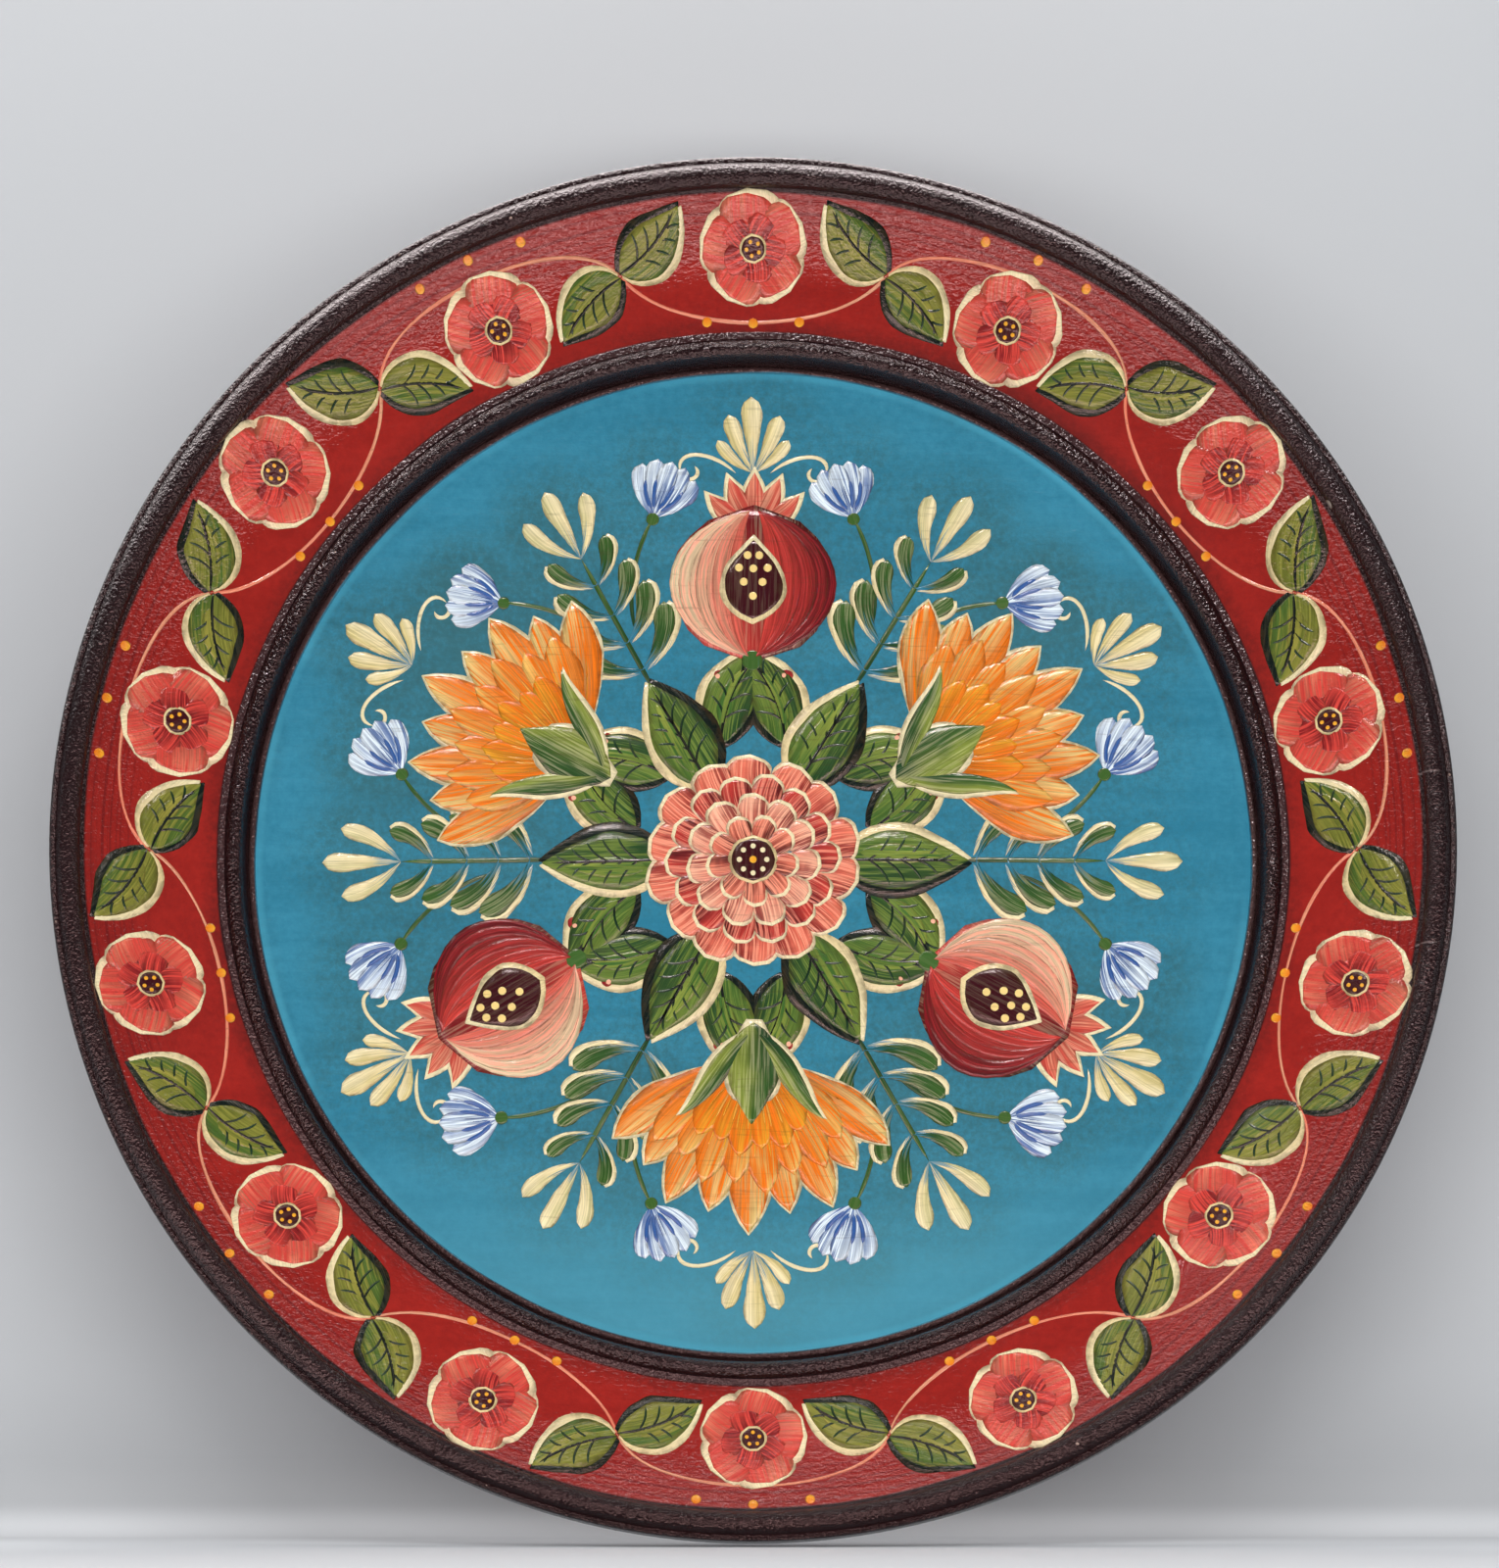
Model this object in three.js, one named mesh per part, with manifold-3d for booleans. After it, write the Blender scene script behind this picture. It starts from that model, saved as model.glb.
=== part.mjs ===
// A turned and painted wooden plate, upright as it is shown, with the painted face towards -Y and +Z up.
// The blank is a panel of wooden staves, glued edge to edge, with the grain along X. It is turned to a slightly
// dished field, a beaded moulding round it, a coved rim, and a double bead at the edge. On the back is a low foot
// ring, and inside the ring a sawtooth hanger is nailed to the wood, so that the plate can hang on a wall.
// The pieces are modelled as they lie on the lathe's faceplate, face up along Z and the top of the picture
// towards +Y, and the finished plate is then stood up on its edge. Sizes are millimetres.
import * as THREE from "three";
import { mergeVertices } from "three/addons/utils/BufferGeometryUtils.js";
import Module from "manifold-3d";

const wasm = await Module();
wasm.setup();

// The turned plate.
const plateRadius = 178;
const plateHeight = 38;
const turnSegments = 72;

// The painted field in the middle.
const fieldEdgeHeight = 10;
const fieldDish = 1.5;

// The moulding round the field: a small bead, a cove, a large bead and a flat fillet.
const smallBeadRadius = 0.9;
const coveWidth = 1.3;
const innerBeadRadius = 2.3;
const innerBeadCentreHeight = 15.8;
const filletWidth = 1.8;
const filletHeight = 17;

// The coved rim between the two mouldings.
const rimWidth = 33.8;
const rimInnerHeight = 16.6;
const rimOuterHeight = 33.6;
const rimCoveDepth = 1.7;

// The double bead at the edge: a large bead, and a small one outside it.
const edgeBeadRadius = 3.15;
const outerBeadRadius = 0.9;
const outerBeadDrop = 1.7;
const edgeSideHeight = 4.5;

// The underside.
const edgeRoundRadius = 4;
const footRadius = 100;
const footRingWidth = 12;
const footHeight = 3;
const footEdgeRadius = 0.6;
const undersideFlare = 4;

// The glued blank. It is wider than the plate by an allowance for turning on each side, and the plate isn't quite
// centred in it. Two glue lines 44 mm apart that show on the edge bead give the width and the place of the staves.
const staveCount = 9;
const turningAllowance = 20;
const blankShift = -4.5;

// The sawtooth hanger, a bent steel strip, and its two nails.
const hangerLength = 44;
const hangerWidth = 9;
const hangerThickness = 0.8;
const hangerTabLength = 7;
const hangerBendLength = 2;
const hangerBridgeGap = 1.3;
const hangerInset = 6;
const toothPitch = 2.6;
const toothDepth = 1.3;
const toothEndMargin = 1;
const nailShankRadius = 0.7;
const nailLength = 5;
const nailPointLength = 1.6;
const nailHeadRadius = 1.6;
const nailHeadThickness = 0.6;
const nailClearance = 0.3;
const nailSegments = 16;

// A closed three.js geometry as a solid that can be cut and joined.
function solidOf(geometry) {
  const bare = geometry.clone();
  bare.deleteAttribute("normal");
  bare.deleteAttribute("uv");
  const merged = mergeVertices(bare, 1e-4);
  return new wasm.Manifold(
    new wasm.Mesh({
      numProp: 3,
      vertProperties: new Float32Array(merged.attributes.position.array),
      triVerts: new Uint32Array(merged.index.array),
    }),
  );
}

// A solid as a three.js geometry with flat faces.
function geometryOf(solid) {
  const mesh = solid.getMesh();
  const points = new Float32Array(mesh.numVert * 3);
  for (let i = 0; i < mesh.numVert; i++) {
    const start = i * mesh.numProp;
    points.set(mesh.vertProperties.subarray(start, start + 3), i * 3);
  }
  const geometry = new THREE.BufferGeometry();
  geometry.setAttribute("position", new THREE.BufferAttribute(points, 3));
  geometry.setIndex(new THREE.BufferAttribute(mesh.triVerts, 1));
  const faceted = geometry.toNonIndexed();
  faceted.computeVertexNormals();
  return faceted;
}

// A solid of revolution about Z, from an outline of (radius, height) points that runs anticlockwise.
function turned(outline, segments) {
  const geometry = new THREE.LatheGeometry(outline, segments);
  geometry.rotateX(Math.PI / 2);
  return solidOf(geometry);
}

// Points on an arc about (x, y), from one angle to another, both in degrees.
function arc(x, y, radius, fromDeg, toDeg, steps) {
  const points = [];
  for (let i = 0; i <= steps; i++) {
    const angle = THREE.MathUtils.degToRad(fromDeg + ((toDeg - fromDeg) * i) / steps);
    points.push(new THREE.Vector2(x + radius * Math.cos(angle), y + radius * Math.sin(angle)));
  }
  return points;
}

// Points on a shallow arc between two points, bowed by sag to the right of the way from a to b.
function bowed(a, b, sag, steps) {
  const along = b.clone().sub(a);
  const side = new THREE.Vector2(along.y, -along.x).normalize();
  const points = [];
  for (let i = 0; i <= steps; i++) {
    const t = i / steps;
    const bow = 4 * sag * t * (1 - t);
    points.push(a.clone().addScaledVector(along, t).addScaledVector(side, bow));
  }
  return points;
}

// Radii and heights that follow from the driving sizes, from the edge of the plate inwards.
const outerBeadCentre = plateRadius - outerBeadRadius;
const edgeBeadCentre = outerBeadCentre - outerBeadRadius / 2 - edgeBeadRadius;
const rimOuterRadius = edgeBeadCentre - edgeBeadRadius;
const rimInnerRadius = rimOuterRadius - rimWidth;
const innerBeadOuter = rimInnerRadius - filletWidth;
const innerBeadInner = innerBeadOuter - 2 * innerBeadRadius;
const smallBeadOuter = innerBeadInner - coveWidth;
const fieldRadius = smallBeadOuter - 2 * smallBeadRadius;
const edgeBeadCentreHeight = plateHeight - edgeBeadRadius;
const outerBeadHeight = plateHeight - outerBeadDrop - outerBeadRadius;
const edgeBottomHeight = outerBeadHeight - edgeSideHeight;
const recessRadius = footRadius - footRingWidth;
const blankHalf = plateRadius + turningAllowance;
const staveWidth = (2 * blankHalf) / staveCount;

// The front of the plate, from its centre out to the widest point.
function frontOutline() {
  const fieldCentre = new THREE.Vector2(0, fieldEdgeHeight - fieldDish);
  const fieldEdge = new THREE.Vector2(fieldRadius, fieldEdgeHeight);
  const field = [];
  const fieldSteps = 3;
  for (let i = 0; i <= fieldSteps; i++) {
    const t = i / fieldSteps;
    field.push(new THREE.Vector2(fieldRadius * t, fieldCentre.y + (fieldEdge.y - fieldCentre.y) * t * t));
  }
  const cove = bowed(
    new THREE.Vector2(smallBeadOuter, fieldEdgeHeight),
    new THREE.Vector2(innerBeadInner, innerBeadCentreHeight),
    coveWidth / 4,
    2,
  );
  const rim = bowed(
    new THREE.Vector2(rimInnerRadius, rimInnerHeight),
    new THREE.Vector2(rimOuterRadius, rimOuterHeight),
    rimCoveDepth,
    6,
  );
  return [
    ...field,
    ...arc(fieldRadius + smallBeadRadius, fieldEdgeHeight, smallBeadRadius, 150, 30, 2),
    ...cove,
    ...arc(innerBeadInner + innerBeadRadius, innerBeadCentreHeight, innerBeadRadius, 150, 30, 4),
    new THREE.Vector2(innerBeadOuter, filletHeight),
    new THREE.Vector2(rimInnerRadius, filletHeight),
    ...rim,
    ...arc(edgeBeadCentre, edgeBeadCentreHeight, edgeBeadRadius, 180, 30, 5),
    ...arc(outerBeadCentre, outerBeadHeight, outerBeadRadius, 90, 0, 3),
  ];
}

// The underside, from the widest point in to the centre of the recess.
function backOutline() {
  const turnIn = arc(plateRadius - edgeRoundRadius, edgeBottomHeight, edgeRoundRadius, 0, -45, 3);
  const start = turnIn[turnIn.length - 1];
  const end = new THREE.Vector2(footRadius + undersideFlare, footHeight);
  const reach = start.x - end.x;
  const underside = new THREE.CubicBezierCurve(
    start,
    new THREE.Vector2(start.x - reach * 0.24, start.y - reach * 0.24),
    new THREE.Vector2(end.x + reach * 0.45, end.y),
    end,
  ).getPoints(7);
  return [
    ...turnIn,
    ...underside.slice(1),
    new THREE.Vector2(footRadius + footEdgeRadius, footHeight / 2),
    ...arc(footRadius - footEdgeRadius, footEdgeRadius, footEdgeRadius, 0, -90, 2),
    ...arc(recessRadius + footEdgeRadius, footEdgeRadius, footEdgeRadius, 270, 180, 2),
    new THREE.Vector2(recessRadius, footHeight),
    new THREE.Vector2(0, footHeight),
  ];
}

// The hanger lies across the recess, as far up as its corners fit inside the ring.
const hangerTop = Math.sqrt((recessRadius - hangerInset) ** 2 - (hangerLength / 2) ** 2);
const hangerCentre = hangerTop - hangerWidth / 2;
const nailX = (hangerLength - hangerTabLength) / 2;
const nailPlaces = [
  { name: "hanger_nail_left", x: -nailX },
  { name: "hanger_nail_right", x: nailX },
];

// A round nail driven up into the wood, its head under the hanger's tab.
function nailOutline(shankRadius) {
  const tabUnder = footHeight - hangerThickness;
  const tip = tabUnder + nailLength;
  return {
    head: tabUnder - nailHeadThickness,
    tabUnder,
    points: [
      new THREE.Vector2(shankRadius, tabUnder),
      new THREE.Vector2(shankRadius, tip - nailPointLength),
      new THREE.Vector2(0, tip + (shankRadius - nailShankRadius)),
    ],
  };
}

function nailSolid(x) {
  const nail = nailOutline(nailShankRadius);
  const outline = [
    new THREE.Vector2(0, nail.head),
    new THREE.Vector2(nailHeadRadius * 0.8, nail.head),
    new THREE.Vector2(nailHeadRadius, nail.tabUnder - nailHeadThickness / 3),
    new THREE.Vector2(nailHeadRadius, nail.tabUnder),
    ...nail.points,
  ];
  return turned(outline, nailSegments).translate([x, hangerCentre, 0]);
}

// The hole that a nail makes in the wood and in the hanger's tab.
function nailHole(x) {
  const hole = nailOutline(nailShankRadius + nailClearance);
  const outline = [
    new THREE.Vector2(0, hole.head),
    new THREE.Vector2(nailShankRadius + nailClearance, hole.head),
    ...hole.points,
  ];
  return turned(outline, nailSegments).translate([x, hangerCentre, 0]);
}

// The hanger: two tabs flat on the wood, and a bridge between them that stands off it, with teeth on its lower edge.
function hangerSolid() {
  const half = hangerLength / 2;
  const tabEnd = half - hangerTabLength;
  const bridgeEnd = tabEnd - hangerBendLength;
  const tabTop = footHeight;
  const bridgeTop = footHeight - hangerBridgeGap;
  const right = [
    [bridgeEnd, bridgeTop],
    [tabEnd, tabTop],
    [half, tabTop],
    [half, tabTop - hangerThickness],
    [tabEnd, tabTop - hangerThickness],
    [bridgeEnd, bridgeTop - hangerThickness],
  ];
  const left = right.map(([x, z]) => [-x, z]).reverse();
  const strip = new THREE.Shape([...right, ...left].map(([x, z]) => new THREE.Vector2(x, z)));
  const geometry = new THREE.ExtrudeGeometry(strip, { depth: hangerWidth, bevelEnabled: false });
  geometry.rotateX(Math.PI / 2);
  geometry.translate(0, hangerTop, 0);
  let hanger = solidOf(geometry);

  const notch = new THREE.Shape([
    new THREE.Vector2(-toothPitch / 2, -toothDepth),
    new THREE.Vector2(toothPitch / 2, -toothDepth),
    new THREE.Vector2(0, toothDepth),
  ]);
  const notchCount = Math.floor((2 * (bridgeEnd - toothEndMargin)) / toothPitch);
  const notchGeometry = new THREE.ExtrudeGeometry(notch, { depth: footHeight, bevelEnabled: false });
  const notchSolid = solidOf(notchGeometry);
  for (let i = 0; i < notchCount; i++) {
    const x = (i - (notchCount - 1) / 2) * toothPitch;
    hanger = hanger.subtract(notchSolid.translate([x, hangerTop - hangerWidth, 0]));
  }
  for (const { x } of nailPlaces) {
    hanger = hanger.subtract(nailHole(x));
  }
  return hanger;
}

// The turned plate in one piece, with the nail holes, before it is divided into its staves.
function plateSolid() {
  const outline = [...frontOutline(), ...backOutline()];
  let plate = turned(outline.reverse(), turnSegments);
  for (const { x } of nailPlaces) {
    plate = plate.subtract(nailHole(x));
  }
  return plate;
}

// One stave of the plate: what turning leaves of the blank's strip between its two edges.
function staveSolid(plate, index) {
  const low = blankShift - blankHalf + index * staveWidth;
  const strip = new THREE.BoxGeometry(2 * blankHalf, staveWidth, 2 * plateHeight);
  strip.translate(0, low + staveWidth / 2, plateHeight / 2);
  return plate.intersect(solidOf(strip));
}

// Stands a solid up on the plate's edge: its face turns from +Z to -Y, and the plate's lowest point comes to Z = 0.
const standUp = new THREE.Matrix4().makeBasis(
  new THREE.Vector3(1, 0, 0),
  new THREE.Vector3(0, 0, 1),
  new THREE.Vector3(0, -1, 0),
);
standUp.setPosition(0, plateHeight / 2, plateRadius);

const paintedWood = new THREE.MeshStandardMaterial({ color: 0x8f2a22, roughness: 0.45, metalness: 0 });
const steel = new THREE.MeshStandardMaterial({ color: 0xb9b6ae, roughness: 0.35, metalness: 1 });
const brass = new THREE.MeshStandardMaterial({ color: 0xb58f45, roughness: 0.4, metalness: 1 });

function named(name, solid, material) {
  const mesh = new THREE.Mesh(geometryOf(solid).applyMatrix4(standUp), material);
  mesh.name = name;
  return mesh;
}

const paintedPlate = new THREE.Group();

const plate = plateSolid();
for (let i = 0; i < staveCount; i++) {
  paintedPlate.add(named(`stave_${i + 1}`, staveSolid(plate, i), paintedWood));
}

paintedPlate.add(named("sawtooth_hanger", hangerSolid(), brass));
for (const { name, x } of nailPlaces) {
  paintedPlate.add(named(name, nailSolid(x), steel));
}

export default paintedPlate;
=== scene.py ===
# %% [markdown]
# A turned and painted wooden plate
# The real plate is a panel of glued wooden staves that was turned on a lathe and then painted freehand: a
# blue field, a red rim, dark red-brown mouldings, and flowers and leaves in brush strokes on top. This
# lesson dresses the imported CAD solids: it spins a smooth version of the turned shape, cuts it into the same
# staves, paints the ground with a procedural material, and lays the ornament on as real strokes of paint.

import cmath
import math
import random

import bmesh
import bpy
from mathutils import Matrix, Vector, kdtree, noise


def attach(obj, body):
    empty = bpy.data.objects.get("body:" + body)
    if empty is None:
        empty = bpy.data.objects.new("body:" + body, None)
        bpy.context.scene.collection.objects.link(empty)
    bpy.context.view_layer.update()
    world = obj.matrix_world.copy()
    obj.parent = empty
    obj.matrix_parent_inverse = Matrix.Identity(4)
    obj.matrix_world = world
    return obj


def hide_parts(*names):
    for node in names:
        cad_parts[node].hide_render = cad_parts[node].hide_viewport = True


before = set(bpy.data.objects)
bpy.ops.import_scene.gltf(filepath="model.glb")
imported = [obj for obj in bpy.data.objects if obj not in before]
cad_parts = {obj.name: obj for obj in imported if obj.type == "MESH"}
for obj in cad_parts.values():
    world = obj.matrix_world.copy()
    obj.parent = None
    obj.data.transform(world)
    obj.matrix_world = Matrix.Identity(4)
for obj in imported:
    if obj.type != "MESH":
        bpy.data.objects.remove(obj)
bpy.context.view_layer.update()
print("nodes:", sorted(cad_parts))

# %% [markdown]
# Units and colours
# Sizes below are written in millimetres, as a turner thinks of them, and become metres when a vertex is
# placed. Colours are written as the 0 to 255 values that a paint swatch shows, and become the linear values
# that the renderer works with.

# %% Units and colours
MM = 0.001


def linear(red, green, blue):
    """A swatch colour, 0 to 255, as linear values for the renderer."""
    values = []
    for channel in (red, green, blue):
        c = channel / 255
        values.append(c / 12.92 if c <= 0.04045 else ((c + 0.055) / 1.055) ** 2.4)
    return tuple(values)


def mixed(a, b, amount):
    """A colour between a and b."""
    return tuple(x + (y - x) * amount for x, y in zip(a, b))


print("a middle grey swatch in linear values:", [round(v, 3) for v in linear(128, 128, 128)])

# %% [markdown]
# The camera
# The photograph looks at the face from a little below its middle, through a long lens, so the rim at the
# bottom seems narrower than at the top. The camera comes first, because everything else is judged through
# it. The shift only moves the plate a little below the middle of the picture, as the photograph frames it.

# %% Camera
PLATE_RADIUS = 178.0
PLATE_HEIGHT = 38.0
CAMERA_DISTANCE = 2500.0
CAMERA_BELOW_DEG = 10.5
LENS_MM = 225.6
LENS_SHIFT = (-0.0023, 0.0435)

plate_centre = Vector((0, 0, PLATE_RADIUS * MM))
below = math.radians(CAMERA_BELOW_DEG)
camera_data = bpy.data.cameras.new("camera")
camera = bpy.data.objects.new("camera", camera_data)
bpy.context.scene.collection.objects.link(camera)
camera.location = plate_centre + CAMERA_DISTANCE * MM * Vector((0, -math.cos(below), -math.sin(below)))
camera.rotation_euler = (math.radians(90) + below, 0, 0)
camera_data.lens = LENS_MM
camera_data.sensor_width = 36
camera_data.shift_x, camera_data.shift_y = LENS_SHIFT
camera_data.clip_end = 50
bpy.context.scene.camera = camera
bpy.context.scene.view_settings.view_transform = "Standard"
print("camera at", [round(v, 3) for v in camera.location])

# %% [markdown]
# The turned shape
# The outline is the same as the one that the solids were turned to, with finer arcs, so that the beads
# shine in smooth lines. It is a list of points (radius, height above the foot). A list of named sizes and
# small arc helpers is easier to keep true to the real plate than points that are pushed about by hand.

# %% Sizes of the turned plate
FIELD_EDGE_HEIGHT = 10.0
FIELD_DISH = 1.5
SMALL_BEAD = 0.9
COVE_WIDTH = 1.3
INNER_BEAD = 2.3
INNER_BEAD_HEIGHT = 15.8
FILLET_WIDTH = 1.8
FILLET_HEIGHT = 17.0
RIM_WIDTH = 33.8
RIM_INNER_HEIGHT = 16.6
RIM_OUTER_HEIGHT = 33.6
RIM_COVE = 1.7
EDGE_BEAD = 3.15
OUTER_BEAD = 0.9
OUTER_BEAD_DROP = 1.7
EDGE_SIDE = 4.5
EDGE_ROUND = 4.0
FOOT_RADIUS = 100.0
FOOT_RING = 12.0
FOOT_HEIGHT = 3.0
FOOT_EDGE = 0.6
UNDERSIDE_FLARE = 4.0

outer_bead_r = PLATE_RADIUS - OUTER_BEAD
edge_bead_r = outer_bead_r - OUTER_BEAD / 2 - EDGE_BEAD
rim_outer_r = edge_bead_r - EDGE_BEAD
rim_inner_r = rim_outer_r - RIM_WIDTH
inner_bead_outer = rim_inner_r - FILLET_WIDTH
inner_bead_inner = inner_bead_outer - 2 * INNER_BEAD
small_bead_outer = inner_bead_inner - COVE_WIDTH
field_r = small_bead_outer - 2 * SMALL_BEAD
edge_bead_h = PLATE_HEIGHT - EDGE_BEAD
outer_bead_h = PLATE_HEIGHT - OUTER_BEAD_DROP - OUTER_BEAD
edge_bottom_h = outer_bead_h - EDGE_SIDE
recess_r = FOOT_RADIUS - FOOT_RING
print("field to", round(field_r, 2), "mm, rim from", round(rim_inner_r, 2), "to", round(rim_outer_r, 2), "mm")


# %% Curves
def arc(x, y, radius, start_deg, end_deg, steps):
    """Points on an arc, ends included."""
    points = []
    for i in range(steps + 1):
        a = math.radians(start_deg + (end_deg - start_deg) * i / steps)
        points.append((x + radius * math.cos(a), y + radius * math.sin(a)))
    return points


def bowed(a, b, sag, steps):
    """Points from a to b on a shallow curve that bows to the right of the way."""
    dx, dy = b[0] - a[0], b[1] - a[1]
    length = math.hypot(dx, dy)
    points = []
    for i in range(steps + 1):
        t = i / steps
        bow = 4 * sag * t * (1 - t)
        points.append((a[0] + dx * t + dy / length * bow, a[1] + dy * t - dx / length * bow))
    return points


def bezier(a, b, c, d, steps):
    """Points on a cubic curve, ends included. A point is a complex number."""
    points = []
    for i in range(steps + 1):
        t = i / steps
        points.append((1 - t) ** 3 * a + 3 * t * (1 - t) ** 2 * b + 3 * t * t * (1 - t) * c + t**3 * d)
    return points


# %% Outline of the turned plate
FIELD_STEPS = 62
field_line = [
    (field_r * i / FIELD_STEPS, FIELD_EDGE_HEIGHT - FIELD_DISH * (1 - (i / FIELD_STEPS) ** 2))
    for i in range(FIELD_STEPS + 1)
]
cove_start = (small_bead_outer, FIELD_EDGE_HEIGHT + 0.1)
rim_line = bowed((rim_inner_r, RIM_INNER_HEIGHT), (rim_outer_r, RIM_OUTER_HEIGHT), RIM_COVE, 22)
front_line = (
    field_line
    + arc(field_r + SMALL_BEAD, FIELD_EDGE_HEIGHT, SMALL_BEAD, 150, 15, 7)
    + bowed(cove_start, (inner_bead_inner, INNER_BEAD_HEIGHT), COVE_WIDTH / 4, 5)
    + arc(inner_bead_inner + INNER_BEAD, INNER_BEAD_HEIGHT, INNER_BEAD, 165, 25, 12)
    + [(inner_bead_outer, FILLET_HEIGHT), (rim_inner_r - 0.15, FILLET_HEIGHT)]
    + rim_line
    + arc(edge_bead_r, edge_bead_h, EDGE_BEAD, 180, 25, 18)
    + arc(outer_bead_r, outer_bead_h, OUTER_BEAD, 120, 0, 6)
)

turn_in = arc(PLATE_RADIUS - EDGE_ROUND, edge_bottom_h, EDGE_ROUND, 0, -45, 6)
under_start = complex(*turn_in[-1])
under_end = complex(FOOT_RADIUS + UNDERSIDE_FLARE, FOOT_HEIGHT)
reach = under_start.real - under_end.real
leaves_edge = under_start - complex(reach, reach) * 0.24
meets_foot = under_end + reach * 0.45
underside = bezier(under_start, leaves_edge, meets_foot, under_end, 26)
back_line = (
    turn_in
    + [(p.real, p.imag) for p in underside[1:]]
    + [(FOOT_RADIUS + FOOT_EDGE, FOOT_HEIGHT / 2)]
    + arc(FOOT_RADIUS - FOOT_EDGE, FOOT_EDGE, FOOT_EDGE, 0, -90, 4)
    + arc(recess_r + FOOT_EDGE, FOOT_EDGE, FOOT_EDGE, 270, 180, 4)
    + [(recess_r * share, FOOT_HEIGHT) for share in (1, 0.66, 0.33, 0)]
)
print("outline points:", len(front_line), "front,", len(back_line), "back")


# %% Places on the face
def front_height(radius):
    """Height of the painted face above the foot, on the field or the rim, where the ornament lies."""
    line = field_line if radius <= field_r else rim_line
    radius = min(max(radius, line[0][0]), line[-1][0])
    for (r0, h0), (r1, h1) in zip(line, line[1:]):
        if radius <= r1:
            return h0 + (h1 - h0) * (radius - r0) / (r1 - r0)
    return line[-1][1]


def on_plate(u, v, height):
    """A point of the face, u to the right and v up from the middle, as a place in the frame."""
    return Vector((u * MM, (PLATE_HEIGHT / 2 - height) * MM, (PLATE_RADIUS + v) * MM))


rim_rise = front_height(rim_outer_r) - front_height(0)
print("the rim rises", round(rim_rise, 1), "mm over the middle of the field")

# %% [markdown]
# Pieces and nodes
# Three things come again and again below: a finished bmesh becomes an object, a material is started, and a
# node is added and linked. A class keeps the last one readable: it holds one node tree, and each of its
# short methods adds one node and gives back its result, so a material reads like a recipe. A node group
# holds an effect that more than one material uses, so each material can place it with its own values.


# %% Pieces
def new_piece(name, bm):
    """Turns a finished bmesh into a mesh object of the scene, and frees it."""
    mesh = bpy.data.meshes.new(name)
    bm.to_mesh(mesh)
    bm.free()
    piece = bpy.data.objects.new(name, mesh)
    bpy.context.scene.collection.objects.link(piece)
    print(name, "has", len(mesh.polygons), "faces")
    return piece


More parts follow.
